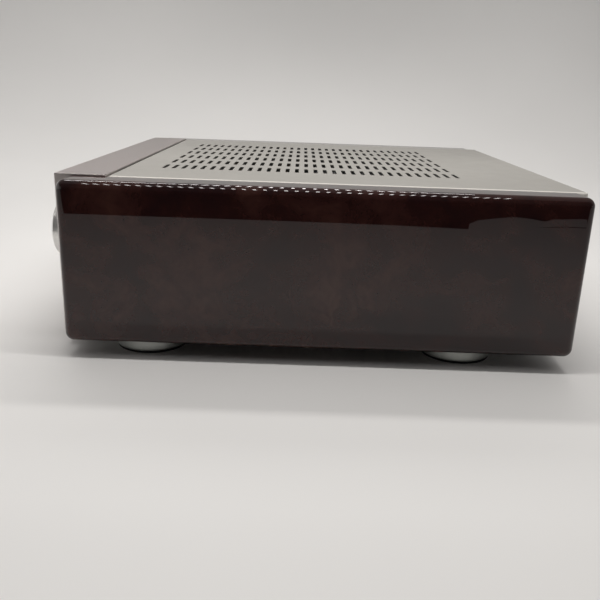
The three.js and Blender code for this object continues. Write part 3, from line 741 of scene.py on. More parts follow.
# ------------------------------------------------------------------ front panel
def front_panel():
    lo, hi = mm_box("front_panel")
    face, top, rear_edge = lo[1], hi[2], hi[1]
    back = face + 10
    prof = [(face, lo[2]), (back, lo[2]), (back, top - 4), (rear_edge, top - 4), (rear_edge, top), (face, top)]
    bm = bmesh.new()
    ends = []
    for x in (lo[0], hi[0]):
        ends.append([bm.verts.new((x, a, b)) for a, b in prof])
    n = len(prof)
    for i in range(n):
        j = (i + 1) % n
        bm.faces.new((ends[0][i], ends[0][j], ends[1][j], ends[1][i]))
    bm.faces.new(list(reversed(ends[0])))
    bm.faces.new(ends[1])
    orient(bm)
    bm.edges.ensure_lookup_table()

    def on(e, y=None, z=None):
        return all((y is None or abs(w.co.y - y) < 1e-4) and (z is None or abs(w.co.z - z) < 1e-4) for w in e.verts)
    skip = [e for e in bm.edges if on(e, y=back)]
    edges = [e for e in bm.edges if e not in skip]
    bmesh.ops.bevel(bm, geom=edges, offset=0.7, segments=3, profile=0.5, affect="EDGES", clamp_overlap=True)
    cutters = []
    for node, extra, ch in (("volume_knob", None, 0.5), ("input_knob", None, 0.5)):
        a, b = mm_box(node)
        cutters.append(hole_cutter((a[0] + b[0]) / 2, (a[2] + b[2]) / 2, 6, 0, back + 2, face, 0.5))
    for node in ("bass_knob", "treble_knob", "balance_knob"):
        a, b = mm_box(node)
        cutters.append(hole_cutter((a[0] + b[0]) / 2, (a[2] + b[2]) / 2, 5, 0, back + 2, face, 0.4, 48))
    for node, gap in (("power_button", 0.4), ("direct_button", 0.4)):
        a, b = mm_box(node)
        cutters.append(hole_cutter((a[0] + b[0]) / 2, (a[2] + b[2]) / 2, (b[0] - a[0]) / 2 + gap, 0, back + 2, face, 0.6, 64))
    a, b = mm_box("headphone_jack")
    cutters.append(hole_cutter((a[0] + b[0]) / 2, (a[2] + b[2]) / 2, 6.3, 0, back + 2, face, 0.3, 48))
    a, b = mm_box("power_lamp")
    cutters.append(hole_cutter((a[0] + b[0]) / 2, (a[2] + b[2]) / 2, 2.3, 0, back + 2, face, 0.35, 32))
    res = evaluated_boolean(bm, cutters)
    return finish_object("front_panel_plate", res, MAT["panel"], "root", ["front_panel"], sharp=30)


front_panel()


# ------------------------------------------------------------------ knobs and buttons
def knob(node, body, mat, pointer=True, knurl=0, dish=0.0, skirt=True, turn=0.0):
    lo, hi = mm_box(node)
    cx, cz = (lo[0] + hi[0]) / 2, (lo[2] + hi[2]) / 2
    r = (hi[0] - lo[0]) / 2
    f, b = lo[1], hi[1]
    c = min(1.3, r * 0.09)
    pts = [(0, f + dish)]
    if dish:
        pts += [(r - 4.2, f + dish), (r - 3.2, f + dish * 0.35), (r - 2.6, f)]
    pts += [(r - c, f)]
    pts += [(r - c + c * sin(radians(a)), f + c * (1 - cos(radians(a)))) for a in (22, 45, 68, 90)]
    if skirt:
        pts += [(r, b - 4.6), (r - 0.35, b - 4.3), (r - 0.35, b - 3.7), (r, b - 3.4), (r, b - 2.2), (r - 0.8, b)]
    else:
        pts += [(r, b - 1.0), (r - 0.6, b)]
    pts += [(4.2, b), (4.2, f + 7), (0, f + 7)]
    y_lo, y_hi = f + c + 0.6, b - 5.2

    def shape(t, rr, k):
        if knurl and abs(rr - r) < 1e-6 and y_lo < pts[k][1] < y_hi:
            return rr - 0.22 * (0.5 + 0.5 * cos(knurl * t))
        return rr
    bm = lathe(pts, 144, "Y", (cx, 0, cz), shape if knurl else None)
    if pointer:
        # milled pointer groove near the rim, turned clockwise from twelve o'clock
        spin = Matrix.Rotation(radians(turn), 3, "Y")
        g0, g1 = r * 0.52, r * 0.86
        w = max(0.5, r * 0.028)
        cut = bm_box(cx - w, cx + w, f - 2, f + 0.55 + dish, cz + g0, cz + g1)
        bmesh.ops.bevel(cut, geom=[e for e in cut.edges if abs(e.verts[0].co.y - e.verts[1].co.y) > 1],
                        offset=w * 0.9, segments=4, affect="EDGES")
        bmesh.ops.rotate(cut, cent=(cx, 0, cz), matrix=spin, verts=cut.verts)
        bm = evaluated_boolean(bm, [cut])
    ob = finish_object(node + "_turned", bm, mat, body, [node], sharp=28)
    if pointer:
        p = bm_box(cx - w * 0.92, cx + w * 0.92, f + 0.3 + dish, f + 0.7 + dish, cz + g0 + 0.1, cz + g1 - 0.1)
        bmesh.ops.rotate(p, cent=(cx, 0, cz), matrix=spin, verts=p.verts)
        finish_object(node + "_pointer", p, MAT["mark"], body, sharp=30)
    return ob


def centre(node):
    lo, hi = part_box(node)
    return ((lo[0] + hi[0]) / 2, (lo[1] + hi[1]) / 2, (lo[2] + hi[2]) / 2)


KNOB = (0.79, 0.78, 0.76)
knob("volume_knob", "volume_control", make_turned("knob_volume_silver", KNOB, "Y", centre("volume_knob"), 0.36), dish=0.7, turn=-150.0)
knob("input_knob", "input_control", make_turned("knob_input_silver", KNOB, "Y", centre("input_knob"), 0.36), dish=0.6)
def small_knob(node, body):
    """small knob with its spindle: the head, a neck, and the spindle into the potentiometer"""
    lo, hi = mm_box(node)
    cx, cz, r, f = (lo[0] + hi[0]) / 2, (lo[2] + hi[2]) / 2, (hi[0] - lo[0]) / 2, lo[1]
    back = -209.4 - 1.2
    c = 0.8
    pts = [(0, f + 0.25), (r - 2.0, f + 0.25), (r - 1.6, f), (r - c, f)]
    pts += [(r - c + c * sin(radians(a)), f + c * (1 - cos(radians(a)))) for a in (22, 45, 68, 90)]
    pts += [(r, back - 0.6), (r - 0.5, back), (3.0, back), (3.0, hi[1] - 0.4), (2.6, hi[1]), (0, hi[1])]

    def shape(t, rr, k):
        return rr
    bm = lathe(pts, 96, "Y", (cx, 0, cz), shape)
    w = 0.42
    cut = bm_box(cx - w, cx + w, f - 2, f + 0.75, cz + r * 0.28, cz + r + 1)
    bm = evaluated_boolean(bm, [cut])
    ob = finish_object(node + "_turned", bm, make_turned(node + "_silver", KNOB, "Y", centre(node), 0.20), body,
                       [node], sharp=28)
    p = bm_box(cx - w * 0.9, cx + w * 0.9, f + 0.55, f + 1.4, cz + r * 0.28 + 0.1, cz + r - 0.25)
    finish_object(node + "_pointer", p, MAT["mark"], body, sharp=30)
    return ob


for nm in ("bass", "treble", "balance"):
    small_knob(nm + "_knob", nm + "_control")


def push(node, body):
    lo, hi = mm_box(node)
    cx, cz, r, f = (lo[0] + hi[0]) / 2, (lo[2] + hi[2]) / 2, (hi[0] - lo[0]) / 2, lo[1]
    c = 0.6
    pts = [(0, f + 0.35), (r * 0.5, f + 0.22), (r - c - 0.5, f), (r - c, f)]
    pts += [(r - c + c * sin(radians(a)), f + c * (1 - cos(radians(a)))) for a in (22, 45, 68, 90)]
    shoulder = -209.4 + 7.8
    plunger = 3.0 if node == "power_button" else 2.0
    pts += [(r, shoulder), (plunger, shoulder), (plunger, hi[1] - 0.3), (plunger - 0.3, hi[1]), (0, hi[1])]
    bm = lathe(pts, 96, "Y", (cx, 0, cz))
    return finish_object(node + "_turned", bm, make_turned(node + "_silver", KNOB, "Y", centre(node), 0.18), body,
                         [node], sharp=28)


push("power_button", "power_key")
push("direct_button", "direct_key")

# power lamp: domed green lens
lo, hi = mm_box("power_lamp")
lx, lz = (lo[0] + hi[0]) / 2, (lo[2] + hi[2]) / 2
n = Nodes("lamp_lens")
f_ = n.noise(n.obj, 900, 2, 0.5)
n.set(base=n.ramp(f_, [(0.3, (0.30, 0.62, 0.32)), (0.7, (0.40, 0.75, 0.42))]), rough=0.12, coat=0.6, coat_rough=0.05, sss=0.0)
n.set(normal=n.bump(f_, 0.05, 0.0001))
bm = lathe([(0, lo[1])] + [(2.1 * sin(radians(a)), lo[1] + 1.0 * (1 - cos(radians(a)))) for a in (20, 40, 60, 80, 90)]
           + [(2.1, hi[1]), (0, hi[1])], 48, "Y", (lx, 0, lz))
finish_object("power_lamp_lens", bm, n.mat, "root", ["power_lamp"], sharp=40)

# headphone socket: bushing with a turned nut and a dark bore, body behind
lo, hi = mm_box("headphone_jack")
jx, jz = (lo[0] + hi[0]) / 2, (lo[2] + hi[2]) / 2
f = lo[1]
ring = lathe([(3.3, f + 32), (3.3, f + 0.5), (3.8, f)] + [(8 - 0.5 + 0.5 * sin(radians(a)), f + 0.5 * (1 - cos(radians(a)))) for a in (0, 30, 60, 90)]
             + [(8, f + 1.5), (5.9, f + 1.5), (5.9, f + 32), (3.3, f + 32)], 72, "Y", (jx, 0, jz))
bm = bmesh.new()
absorb(bm, ring, 0)
case = bm_box(jx - 8, jx + 8, f + 14.2, f + 39.6, jz - 8, jz + 8, 0.6, 2)
case = evaluated_boolean(case, [lathe([(0, f + 10), (6.0, f + 10), (6.0, f + 34), (0, f + 34)], 48, "Y", (jx, 0, jz))])
absorb(bm, case, 1)
finish_object("headphone_socket", bm, [MAT["screw_bright"], MAT["plastic"]], "root", ["headphone_jack"], sharp=35)


# generic scale marks around the controls, printed on the front panel
def marks():
    bm = bmesh.new()
    face = mm_box("front_panel")[0][1]

    def dot(x, z, r):
        absorb(bm, lathe([(0, face - 0.04), (r, face - 0.04), (r, face + 0.2), (0, face + 0.2)], 20, "Y", (x, 0, z)))

    def tick(x, z, ang, r0, r1, w):
        b = bm_box(-w / 2, w / 2, face - 0.04, face + 0.2, r0, r1)
        bmesh.ops.rotate(b, cent=(0, 0, 0), matrix=Matrix.Rotation(ang, 3, "Y"), verts=b.verts)
        bmesh.ops.translate(b, vec=(x, 0, z), verts=b.verts)
        absorb(bm, b)
    cx, _, cz = [c * 1000 for c in centre("volume_knob")]
    for k in range(31):
        a = radians(-150 + 10 * k)
        major = k % 5 == 0
        tick(cx, cz, a, 26.2, 28.6 if major else 27.4, 0.5 if major else 0.3)
    cx, _, cz = [c * 1000 for c in centre("input_knob")]
    for k in range(5):
        a = radians(-60 + 30 * k)
        dot(cx + 23.5 * sin(a), cz + 23.5 * cos(a), 0.75)
    for nm in ("bass", "treble", "balance"):
        cx, _, cz = [c * 1000 for c in centre(nm + "_knob")]
        for k in range(11):
            a = radians(-140 + 28 * k)
            tick(cx, cz, a, 10.2, 11.6 if k in (0, 5, 10) else 11.0, 0.4 if k in (0, 5, 10) else 0.28)
    orient(bm)
    return finish_object("panel_scale_marks", bm, MAT["mark"], "root", sharp=30, weighted=False)


marks()

# ------------------------------------------------------------------ feet
for tag in ("front_right", "front_left", "rear_right", "rear_left"):
    lo, hi = mm_box("foot_" + tag)
    cx, cy, R = (lo[0] + hi[0]) / 2, (lo[1] + hi[1]) / 2, (hi[0] - lo[0]) / 2
    z0, z1 = lo[2], hi[2]
    pts = [(0, z0), (R - 2.2, z0)]
    pts += [(R - 2.2 + 1.2 * sin(radians(a)), z0 + 1.2 * (1 - cos(radians(a)))) for a in (0, 30, 60, 90)]
    pts += [(R - 1.0, z0 + 1.7), (R, z0 + 2.2), (R, z1 - 3.2), (R - 0.4, z1 - 2.9), (R - 0.4, z1 - 2.3), (R, z1 - 2.0), (R, z1 - 0.9),
            (R - 0.9, z1), (0, z1)]
    bm = lathe(pts, 128, "Z", (cx, cy, 0))
    mat = make_turned("foot_silver_" + tag, (0.45, 0.465, 0.44), "Z", (cx * M, cy * M, 0), 0.42)
    finish_object("foot_" + tag + "_turned", bm, mat, "root", ["foot_" + tag], sharp=30)
    lo, hi = mm_box("foot_pad_" + tag)
    R = (hi[0] - lo[0]) / 2
    pts = [(0, lo[2] + 0.5), (4.2, lo[2] + 0.5), (4.6, lo[2] + 0.25), (5.4, lo[2]), (R - 0.7, lo[2]), (R - 0.2, lo[2] + 0.2), (R, lo[2] + 0.7), (R, hi[2]), (0, hi[2])]
    bm = lathe(pts, 96, "Z", (cx, cy, 0))
    finish_object("foot_pad_" + tag + "_moulded", bm, MAT["rubber"], "root", ["foot_pad_" + tag], sharp=30)

# ------------------------------------------------------------------ rear panel and connections
RY = mm_box("rear_panel")[0][1]      # inner face
RO = mm_box("rear_panel")[1][1]      # outer face
TX = [-92, -66, -40, -14]
TN = ["right_negative", "right_positive", "left_negative", "left_positive"]
JX, JZ = [66, 88, 110, 132], [92, 70]


def rear_panel():
    lo, hi = mm_box("rear_panel")
    bm = bm_box(lo[0], hi[0], lo[1], hi[1], lo[2], hi[2], 0.35, 2)
    cutters = []
    il, ih = mm_box("mains_inlet")
    ix, iz = (il[0] + ih[0]) / 2, (il[2] + ih[2]) / 2
    cutters.append(bm_box(ix - 14.3, ix + 14.3, lo[1] - 3, hi[1] + 3, iz - 10.8, iz + 10.8))
    for x in TX:
        cutters.append(lathe([(0, lo[1] - 3), (5, lo[1] - 3), (5, hi[1] + 3), (0, hi[1] + 3)], 48, "Y", (x, 0, 48)))
    for x in JX:
        for z in JZ:
            cutters.append(lathe([(0, lo[1] - 3), (5.4, lo[1] - 3), (5.4, hi[1] + 3), (0, hi[1] + 3)], 48, "Y", (x, 0, z)))
    # a field of small vent holes
    for i in range(9):
        for j in range(5):
            x = -76 + i * 9 + (4.5 if j % 2 else 0)
            cutters.append(lathe([(0, lo[1] - 3), (2.2, lo[1] - 3), (2.2, hi[1] + 3), (0, hi[1] + 3)], 20, "Y", (x, 0, 88 + j * 8)))
    bm = evaluated_boolean(bm, cutters)
    ob = finish_object("rear_panel_sheet", bm, [MAT["rear"]], "root", ["rear_panel"], sharp=30)
    s = bmesh.new()
    for x, z in ((-178, 24), (-178, 118), (178, 24), (178, 118), (-60, 24), (60, 24), (0, 118), (50, 104), (148, 104), (99, 58), (-118, 66), (12, 66)):
        screw(s, (x, hi[1], z), "Y", 1, 2.9, 1.6)
    finish_object("rear_panel_screws", s, MAT["screw"], "root", sharp=35)
    return ob


rear_panel()

# cover screws along the rear fold
s = bmesh.new()
lo, hi = mm_box("top_cover")
for x in (-168, -84, 0, 84, 168):
    screw(s, (x, hi[1], lo[2] + 6.0), "Y", 1, 3.0, 1.6)
finish_object("top_cover_screws", s, MAT["screw"], "root", sharp=35)


def inlet():
    lo, hi = mm_box("mains_inlet")
    cx, cz = (lo[0] + hi[0]) / 2, (lo[2] + hi[2]) / 2
    bm = bm_box(lo[0], hi[0], RY + 1.8, RY + 4.8, lo[2], hi[2], 1.0, 3)
    absorb(bm, bm_box(cx - 14, cx + 14, lo[1], RY + 2.5, cz - 10.5, cz + 10.5, 0.8, 2))
    # union first, then the recess with two cut corners
    prof = [(-12, -8.2), (12, -8.2), (12, 4.2), (8.0, 8.2), (-8.0, 8.2), (-12, 4.2)]
    y0, y1 = RY - 13, RY + 8
    cut = bm_loops([[(cx + a, y0, cz + b) for a, b in prof], [(cx + a, y1, cz + b) for a, b in prof]])
    orient(cut)
    holes = [lathe([(0, RY - 1), (1.7, RY - 1), (1.7, RY + 9), (0, RY + 9)], 24, "Y", (cx + sx * 20, 0, cz)) for sx in (-1, 1)]
    bm = evaluated_boolean(bm, [cut] + holes)
    out = bmesh.new()
    absorb(out, bm, 0)
    for x, z in ((-7, -3.6), (7, -3.6), (0, 1.4)):
        b = bm_box(cx + x - 1, cx + x + 1, RY - 14, RY + 2, cz + z - 2.6, cz + z + 2.6, 0.4, 2)
        absorb(out, b, 1)
    for sx in (-1, 1):
        screw(out, (cx + sx * 20, RY + 4.6, cz), "Y", 1, 2.9, 1.5, mat_index=2)
    return finish_object("mains_inlet_moulding", out, [MAT["plastic"], MAT["tinned"], MAT["screw_bright"]], "root",
                         ["mains_inlet"], sharp=35)


inlet()


def jacks():
    lo, hi = mm_box("line_jack_block")
    bm = bm_box(lo[0], hi[0], lo[1], RY - 0.4, lo[2], hi[2], 0.8, 2)
    out = bmesh.new()
    absorb(out, bm, 0)
    for i, x in enumerate(JX):
        for j, z in enumerate(JZ):
            insul = lathe([(3.2, RY - 1.0), (5.1, RY - 1.0), (5.1, RO + 1.6), (4.9, RO + 2.2), (4.4, RO + 2.5), (3.2, RO + 2.5), (3.2, RY - 1.0)], 48, "Y", (x, 0, z))
            absorb(out, insul, 1 if j == 0 else 2)
            y = RY
            shell = lathe([(1.9, y - 1), (3.9, y - 1), (3.9, y + 5), (4.15, y + 5.2), (4.15, y + 12.9), (3.9, y + 13.5), (3.4, y + 13.5),
                           (3.2, y + 13.2), (3.2, y + 5.6), (1.9, y + 5.6), (1.9, y - 1)], 48, "Y", (x, 0, z))
            absorb(out, shell, 3)
            core = lathe([(1.5, y + 0), (3.15, y + 0), (3.15, y + 11.8), (2.9, y + 12.2), (1.7, y + 12.2), (1.5, y + 11.9), (1.5, y + 0)], 40, "Y", (x, 0, z))
            absorb(out, core, 1 if j == 0 else 2)
    return finish_object("line_socket_group", out, [MAT["plastic"], MAT["ring_white"], MAT["ring_red"], MAT["brass"]], "root",
                         ["line_jack_block"], sharp=35)


jacks()


def terminals():
    lo, hi = mm_box("speaker_terminal_block")
    out = bmesh.new()
    absorb(out, bm_box(lo[0], hi[0], lo[1], RY - 0.4, lo[2], hi[2], 0.8, 2), 0)
    for i, x in enumerate(TX):
        collar = lathe([(3.3, RY - 2), (4.7, RY - 2), (4.7, RO + 1.2), (4.9, RO + 1.2), (6.9, RO + 1.6), (7.2, RO + 2.2), (7.2, RO + 3.6),
                        (6.9, RO + 4.2), (6.4, RY + 6.5), (3.3, RY + 6.5), (3.3, RY - 2)], 56, "Y", (x, 0, 48))
        absorb(out, collar, 1 if i % 2 else 0)
    ob = finish_object("speaker_terminal_base", out, [MAT["cap_black"], MAT["cap_red"]], "root",
                       ["speaker_terminal_block"], sharp=35)
    for i, x in enumerate(TX):
        tag = TN[i]
        # threaded stud
        y0, y1 = RY - 17.5, RY + 21.5
        pts = [(0, y0), (2.6, y0)]
        y = y0 + 0.3
        while y < y1 - 1.0:
            pts += [(3.0, y), (2.72, y + 0.5)]
            y += 1.0
        pts += [(2.7, y1 - 0.3), (2.4, y1), (0, y1)]
        finish_object("terminal_stud_" + tag + "_threaded", lathe(pts, 32, "Y", (x, 0, 48)), MAT["brass"], "root",
                      ["terminal_stud_" + tag], sharp=25)
        w0, w1 = RY + 6.9, RY + 8.5
        b = lathe([(3.2, w0), (6.6, w0), (7, w0 + 0.35), (7, w1 - 0.35), (6.6, w1), (3.2, w1), (3.2, w0)], 56, "Y", (x, 0, 48))
        finish_object("clamp_washer_" + tag + "_plated", b, MAT["brass"], "clamp_" + tag, ["clamp_washer_" + tag], sharp=30)
        c0, c1 = RY + 8.8, mm_box("terminal_cap_" + tag)[1][1]
        pts = [(3.2, c0), (7.1, c0), (7.6, c0 + 0.6), (7.6, c0 + 1.4), (8, c0 + 1.8), (8, c0 + 11.4), (7.6, c0 + 12.2), (6.7, c0 + 16.0),
               (6.3, c1 - 0.7), (5.6, c1), (2.3, c1), (2.1, c1 - 0.3), (2.1, RY + 22.3), (3.2, RY + 22.1), (3.2, c0)]

        def flutes(t, rr, k, p=pts):
            if rr >= 7.99:
                return rr - 0.42 * max(0.0, cos(12 * t)) ** 0.8
            return rr
        b = lathe(pts, 144, "Y", (x, 0, 48), flutes)
        finish_object("terminal_cap_" + tag + "_fluted", b, MAT["cap_red" if i % 2 else "cap_black"], "cap_" + tag,
                      ["terminal_cap_" + tag], sharp=40)
        # bright ring set in the cap's end
        b = lathe([(2.3, c1 - 0.5), (4.3, c1 - 0.5), (4.3, c1 - 0.02), (4.1, c1), (2.4, c1), (2.3, c1 - 0.1), (2.3, c1 - 0.5)], 48, "Y", (x, 0, 48))
        finish_object("terminal_cap_insert_" + tag, b, MAT["brass"], "cap_" + tag, sharp=30)
    return ob


terminals()


# ------------------------------------------------------------------ chassis underside
def underside():
    lo, hi = mm_box("chassis_base")
    s = bmesh.new()
    z = lo[2]
    for x, y in ((-182, -180), (182, -180), (-182, 190), (182, 190), (-182, 0), (182, 0), (0, -186), (0, 196), (-96, -92), (-155, -12), (-47, -12),
                 (-155, 108), (-47, 108), (72, -112), (172, -112), (72, 144)):
        screw(s, (x, y, z), "Z", -1, 3.0, 1.5)
    finish_object("chassis_screws", s, MAT["screw_bright"], "root", sharp=35)


underside()
for nm in ("chassis_base", "front_subchassis", "volume_shaft", "input_shaft", "volume_pot", "bass_pot", "treble_pot", "balance_pot", "transformer_clamp"):
    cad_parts[nm].data.materials.clear()
    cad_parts[nm].data.materials.append(MAT["steel"])
for nm in ("input_selector_switch", "power_switch", "direct_switch", "output_module_left", "output_module_right"):
    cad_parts[nm].data.materials.clear()
    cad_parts[nm].data.materials.append(MAT["plastic"])
for nm, k in (("power_amp_board", "green"), ("input_board", "green"), ("tone_control_board", "brown"), ("power_supply_board", "brown"),
              ("main_heatsink", "sink")):
    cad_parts[nm].data.materials.clear()
    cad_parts[nm].data.materials.append(MAT[k])

# ------------------------------------------------------------------ electronics
lo, hi = mm_box("mains_transformer")
tx, ty, tr = (lo[0] + hi[0]) / 2, (lo[1] + hi[1]) / 2, (hi[0] - lo[0]) / 2
z0, z1 = lo[2], hi[2]
q = 9.0
ring = [(17.0, z0 + q)]
ring += [(17 + q - q * cos(radians(a)), z0 + q - q * sin(radians(a))) for a in (20, 40, 60, 80, 90)]
ring += [(tr - q + q * sin(radians(a)), z0 + q - q * cos(radians(a))) for a in (0, 20, 40, 60, 80, 90)]
ring += [(tr - q + q * cos(radians(a)), z1 - q + q * sin(radians(a))) for a in (0, 20, 40, 60, 80, 90)]
ring += [(17 + q - q * sin(radians(a)), z1 - q + q * cos(radians(a))) for a in (0, 20, 40, 60, 80, 90)]
ring.append(ring[0])
bm = lathe(ring, 128, "Z", (tx, ty, 0), lambda t, r, k: r + 0.18 * cos(64 * t) if r > 20 else r)
bmesh.ops.remove_doubles(bm, verts=bm.verts, dist=1e-4)
finish_object("mains_transformer_wound", bm, MAT["tape"], "root", ["mains_transformer"], sharp=60)

for tag in ("front", "rear"):
    lo, hi = mm_box("filter_capacitor_" + tag)
    cx, cy, R = (lo[0] + hi[0]) / 2, (lo[1] + hi[1]) / 2, (hi[0] - lo[0]) / 2
    b0, b1 = lo[2], hi[2]
    out = bmesh.new()
    absorb(out, lathe([(0, b0), (R - 1, b0), (R, b0 + 1), (R, b0 + 4), (R - 0.8, b0 + 5), (R - 0.8, b0 + 6.5), (R, b0 + 7.5), (R, b1 - 2), (R - 0.8, b1 - 0.6),
                       (R - 3, b1 - 0.5), (R - 3.2, b1 - 1.2), (0, b1 - 1.2)], 72, "Z", (cx, cy, 0)), 0)
    absorb(out, lathe([(0, b1 - 1.3), (R - 3.3, b1 - 1.3), (R - 3.4, b1 - 0.9), (0, b1 - 0.9)], 48, "Z", (cx, cy, 0)), 1)
    finish_object("filter_capacitor_" + tag + "_can", out, [MAT["sleeve"], MAT["can_top"]], "root",
                  ["filter_capacitor_" + tag], sharp=35)

lo, hi = mm_box("speaker_relay")
bm = bm_box(lo[0], hi[0], lo[1], hi[1], lo[2], hi[2], 1.0, 3)
finish_object("speaker_relay_case", bm, MAT["plastic"], "root", ["speaker_relay"], sharp=35)


def small_parts():
    rnd = random.Random(7)
    bm = bmesh.new()
    zt = 35.9

    def electro(x, y, r, h, z=zt):
        absorb(bm, lathe([(0, z), (r - 0.3, z), (r, z + 0.4), (r, z + h - 0.5), (r - 0.5, z + h), (r - 0.9, z + h), (r - 1.0, z + h - 0.2), (0, z + h - 0.2)], 24, "Z", (x, y, 0)), 0)

    def film(x, y, w, d, h, k, z=zt):
        absorb(bm, bm_box(x - w / 2, x + w / 2, y - d / 2, y + d / 2, z + 0.3, z + h, min(w, d) * 0.16, 2), k)

    def resistor(x, y, ang, z=zt):
        b = lathe([(0, -4), (0.35, -4), (0.35, -3.1), (1.2, -3.0), (1.35, -2.3), (1.15, -1.8), (1.15, 1.8), (1.35, 2.3), (1.2, 3.0), (0.35, 3.1), (0.35, 4), (0, 4)], 14, "X")
        bmesh.ops.rotate(b, cent=(0, 0, 0), matrix=Matrix.Rotation(ang, 3, "Z"), verts=b.verts)
        bmesh.ops.translate(b, vec=(x, y, z + 1.6), verts=b.verts)
        absorb(bm, b, 3)
    # power amplifier board, x 68..178, y -118..150
    taken = []

    def free(x, y, r):
        if 80 < x < 116 and 108 < y < 138:
            return False
        return all((x - a) ** 2 + (y - b) ** 2 > (r + c) ** 2 for a, b, c in taken)
    for _ in range(900):
        if len(taken) > 110:
            break
        x, y = rnd.uniform(76, 172), rnd.uniform(-112, 144)
        kind = rnd.random()
        if kind < 0.22:
            r = rnd.choice([4.0, 5.0, 6.3, 8.0])
            if free(x, y, r + 1) and x > 86:
                electro(x, y, r, r * 2.4 + 4)
                taken.append((x, y, r + 1))
        elif kind < 0.5:
            w, d, h = rnd.choice([(10, 4.5, 9), (13, 6, 12), (7.5, 3.5, 7), (18, 8.5, 15)])
            if free(x, y, w * 0.55) and x > 88:
                film(x, y, w, d, h, rnd.choice([1, 2, 1, 4]))
                taken.append((x, y, w * 0.55))
        else:
            if free(x, y, 4.2):
                resistor(x, y, rnd.choice([0, pi / 2]))
                taken.append((x, y, 4.2))
    # upright driver boards standing on the amplifier board
    for y0, y1, ztop in ((-14, 16, 131.5), (26, 52, 130.0), (-78, -52, 129.0)):
        absorb(bm, bm_box(92.0, 93.6, y0, y1, zt + 0.2, ztop, 0.2, 1), 5)
        for k in range(4):
            b = lathe([(0, -3.2), (1.1, -3.1), (1.3, -2.4), (1.1, -1.8), (1.1, 1.8), (1.3, 2.4), (1.1, 3.1), (0, 3.2)], 14, "Y")
            bmesh.ops.translate(b, vec=(95.0, (y0 + y1) / 2 + (k % 2) * 8 - 4, ztop - 4 - 3.4 * k), verts=b.verts)
            absorb(bm, b, 3 if k % 2 else 1)
    # power supply board, x -161..-41, y -18..114, beside the two cans
    for x, y, r in ((-64, 2, 6.3), (-64, 22, 6.3), (-64, 44, 5), (-62, 62, 8), (-64, 86, 6.3), (-146, 6, 6.3), (-148, 84, 6.3)):
        electro(x, y, r, r * 2.3 + 5)
    for x, y in ((-146, 28), (-146, 44), (-146, 60)):
        film(x, y, 9, 5, 11, 1)
    film(-52, 104, 14, 10, 9, 4)
    orient(bm)
    return finish_object("board_components", bm, [MAT["sleeve"], MAT["film"], MAT["film2"], MAT["resistor"], MAT["chip"], MAT["brown"]], "root",
                         sharp=35, weighted=False)


small_parts()


# ------------------------------------------------------------------ room: pale floor and sweep
def plain_mesh(name, verts, faces, mat, smooth=False):
    me = bpy.data.meshes.new(name)
    me.from_pydata(verts, [], faces)
    if smooth:
        me.polygons.foreach_set("use_smooth", [True] * len(faces))
    me.materials.append(mat)
    ob = bpy.data.objects.new(name, me)
    scene.collection.objects.link(ob)
    return ob


n = Nodes("floor_paper")
s_ = n.sep(n.obj)
soft = n.noise(n.obj, 1.6, 3, 0.55)
base = n.ramp(soft, [(0.3, (0.775, 0.76, 0.745)), (0.7, (0.80, 0.785, 0.77))])
# painted shade: the sweep is darkened to 0.88 around a point high on its curve behind the amplifier, fading out over
# about 0.75 m
backdrop_shade_distance = n.new("ShaderNodeVectorMath")
backdrop_shade_distance.operation = "DISTANCE"
n.link(n.scale(n.obj, (1.0, 0.8, 1.4)), backdrop_shade_distance.inputs[0])
backdrop_shade_distance.inputs[1].default_value = (-2.0, 0.05, 0.62)
shade = n.range(backdrop_shade_distance.outputs["Value"], 0.0, 0.75, 0.88, 1.0, smooth=True)
# painted light: the floor is brightened up to 1.09 times towards the camera, between x 0.44 and 0.64 m
painted_near_light = n.math("MULTIPLY", shade, n.range(n.sep(n.obj)[0], 0.44, 0.64, 1.0, 1.09, smooth=True))
base = n.mix(1.0, base, n.comb(painted_near_light, painted_near_light, painted_near_light), "MULTIPLY")
n.set(base=base, rough=0.85, spec=0.15)
n.set(normal=n.bump(n.noise(n.obj, 420, 3, 0.6), 0.05, 0.0003))
prof = [(3.2, 0.0), (-1.0, 0.0)]
R = 1.3
prof += [(-1.0 - R * sin(radians(a)), R * (1 - cos(radians(a)))) for a in range(4, 91, 4)]
prof += [(-2.3, 3.6)]
verts, faces = [], []
for x, z in prof:
    verts += [(x, -3.6, z), (x, 3.6, z)]
for k in range(len(prof) - 1):
    faces.append((2 * k, 2 * k + 1, 2 * k + 3, 2 * k + 2))
plain_mesh("floor_sweep", verts, faces, n.mat, True)


def only_glossy(ob):
    ob.visible_camera = False
    ob.visible_diffuse = False
    ob.visible_transmission = False
    ob.visible_volume_scatter = False
    ob.visible_shadow = False
    return ob


# dark flags beyond the pale floor, on the camera's side, seen only in reflections
def emission(name, color, strength):
    m_ = bpy.data.materials.new(name)
    m_.use_nodes = True
    nt = m_.node_tree
    nt.nodes.clear()
    o = nt.nodes.new("ShaderNodeOutputMaterial")
    e = nt.nodes.new("ShaderNodeEmission")
    e.inputs[0].default_value = (*color, 1)
    e.inputs[1].default_value = strength
    nt.links.new(e.outputs[0], o.inputs[0])
    return m_


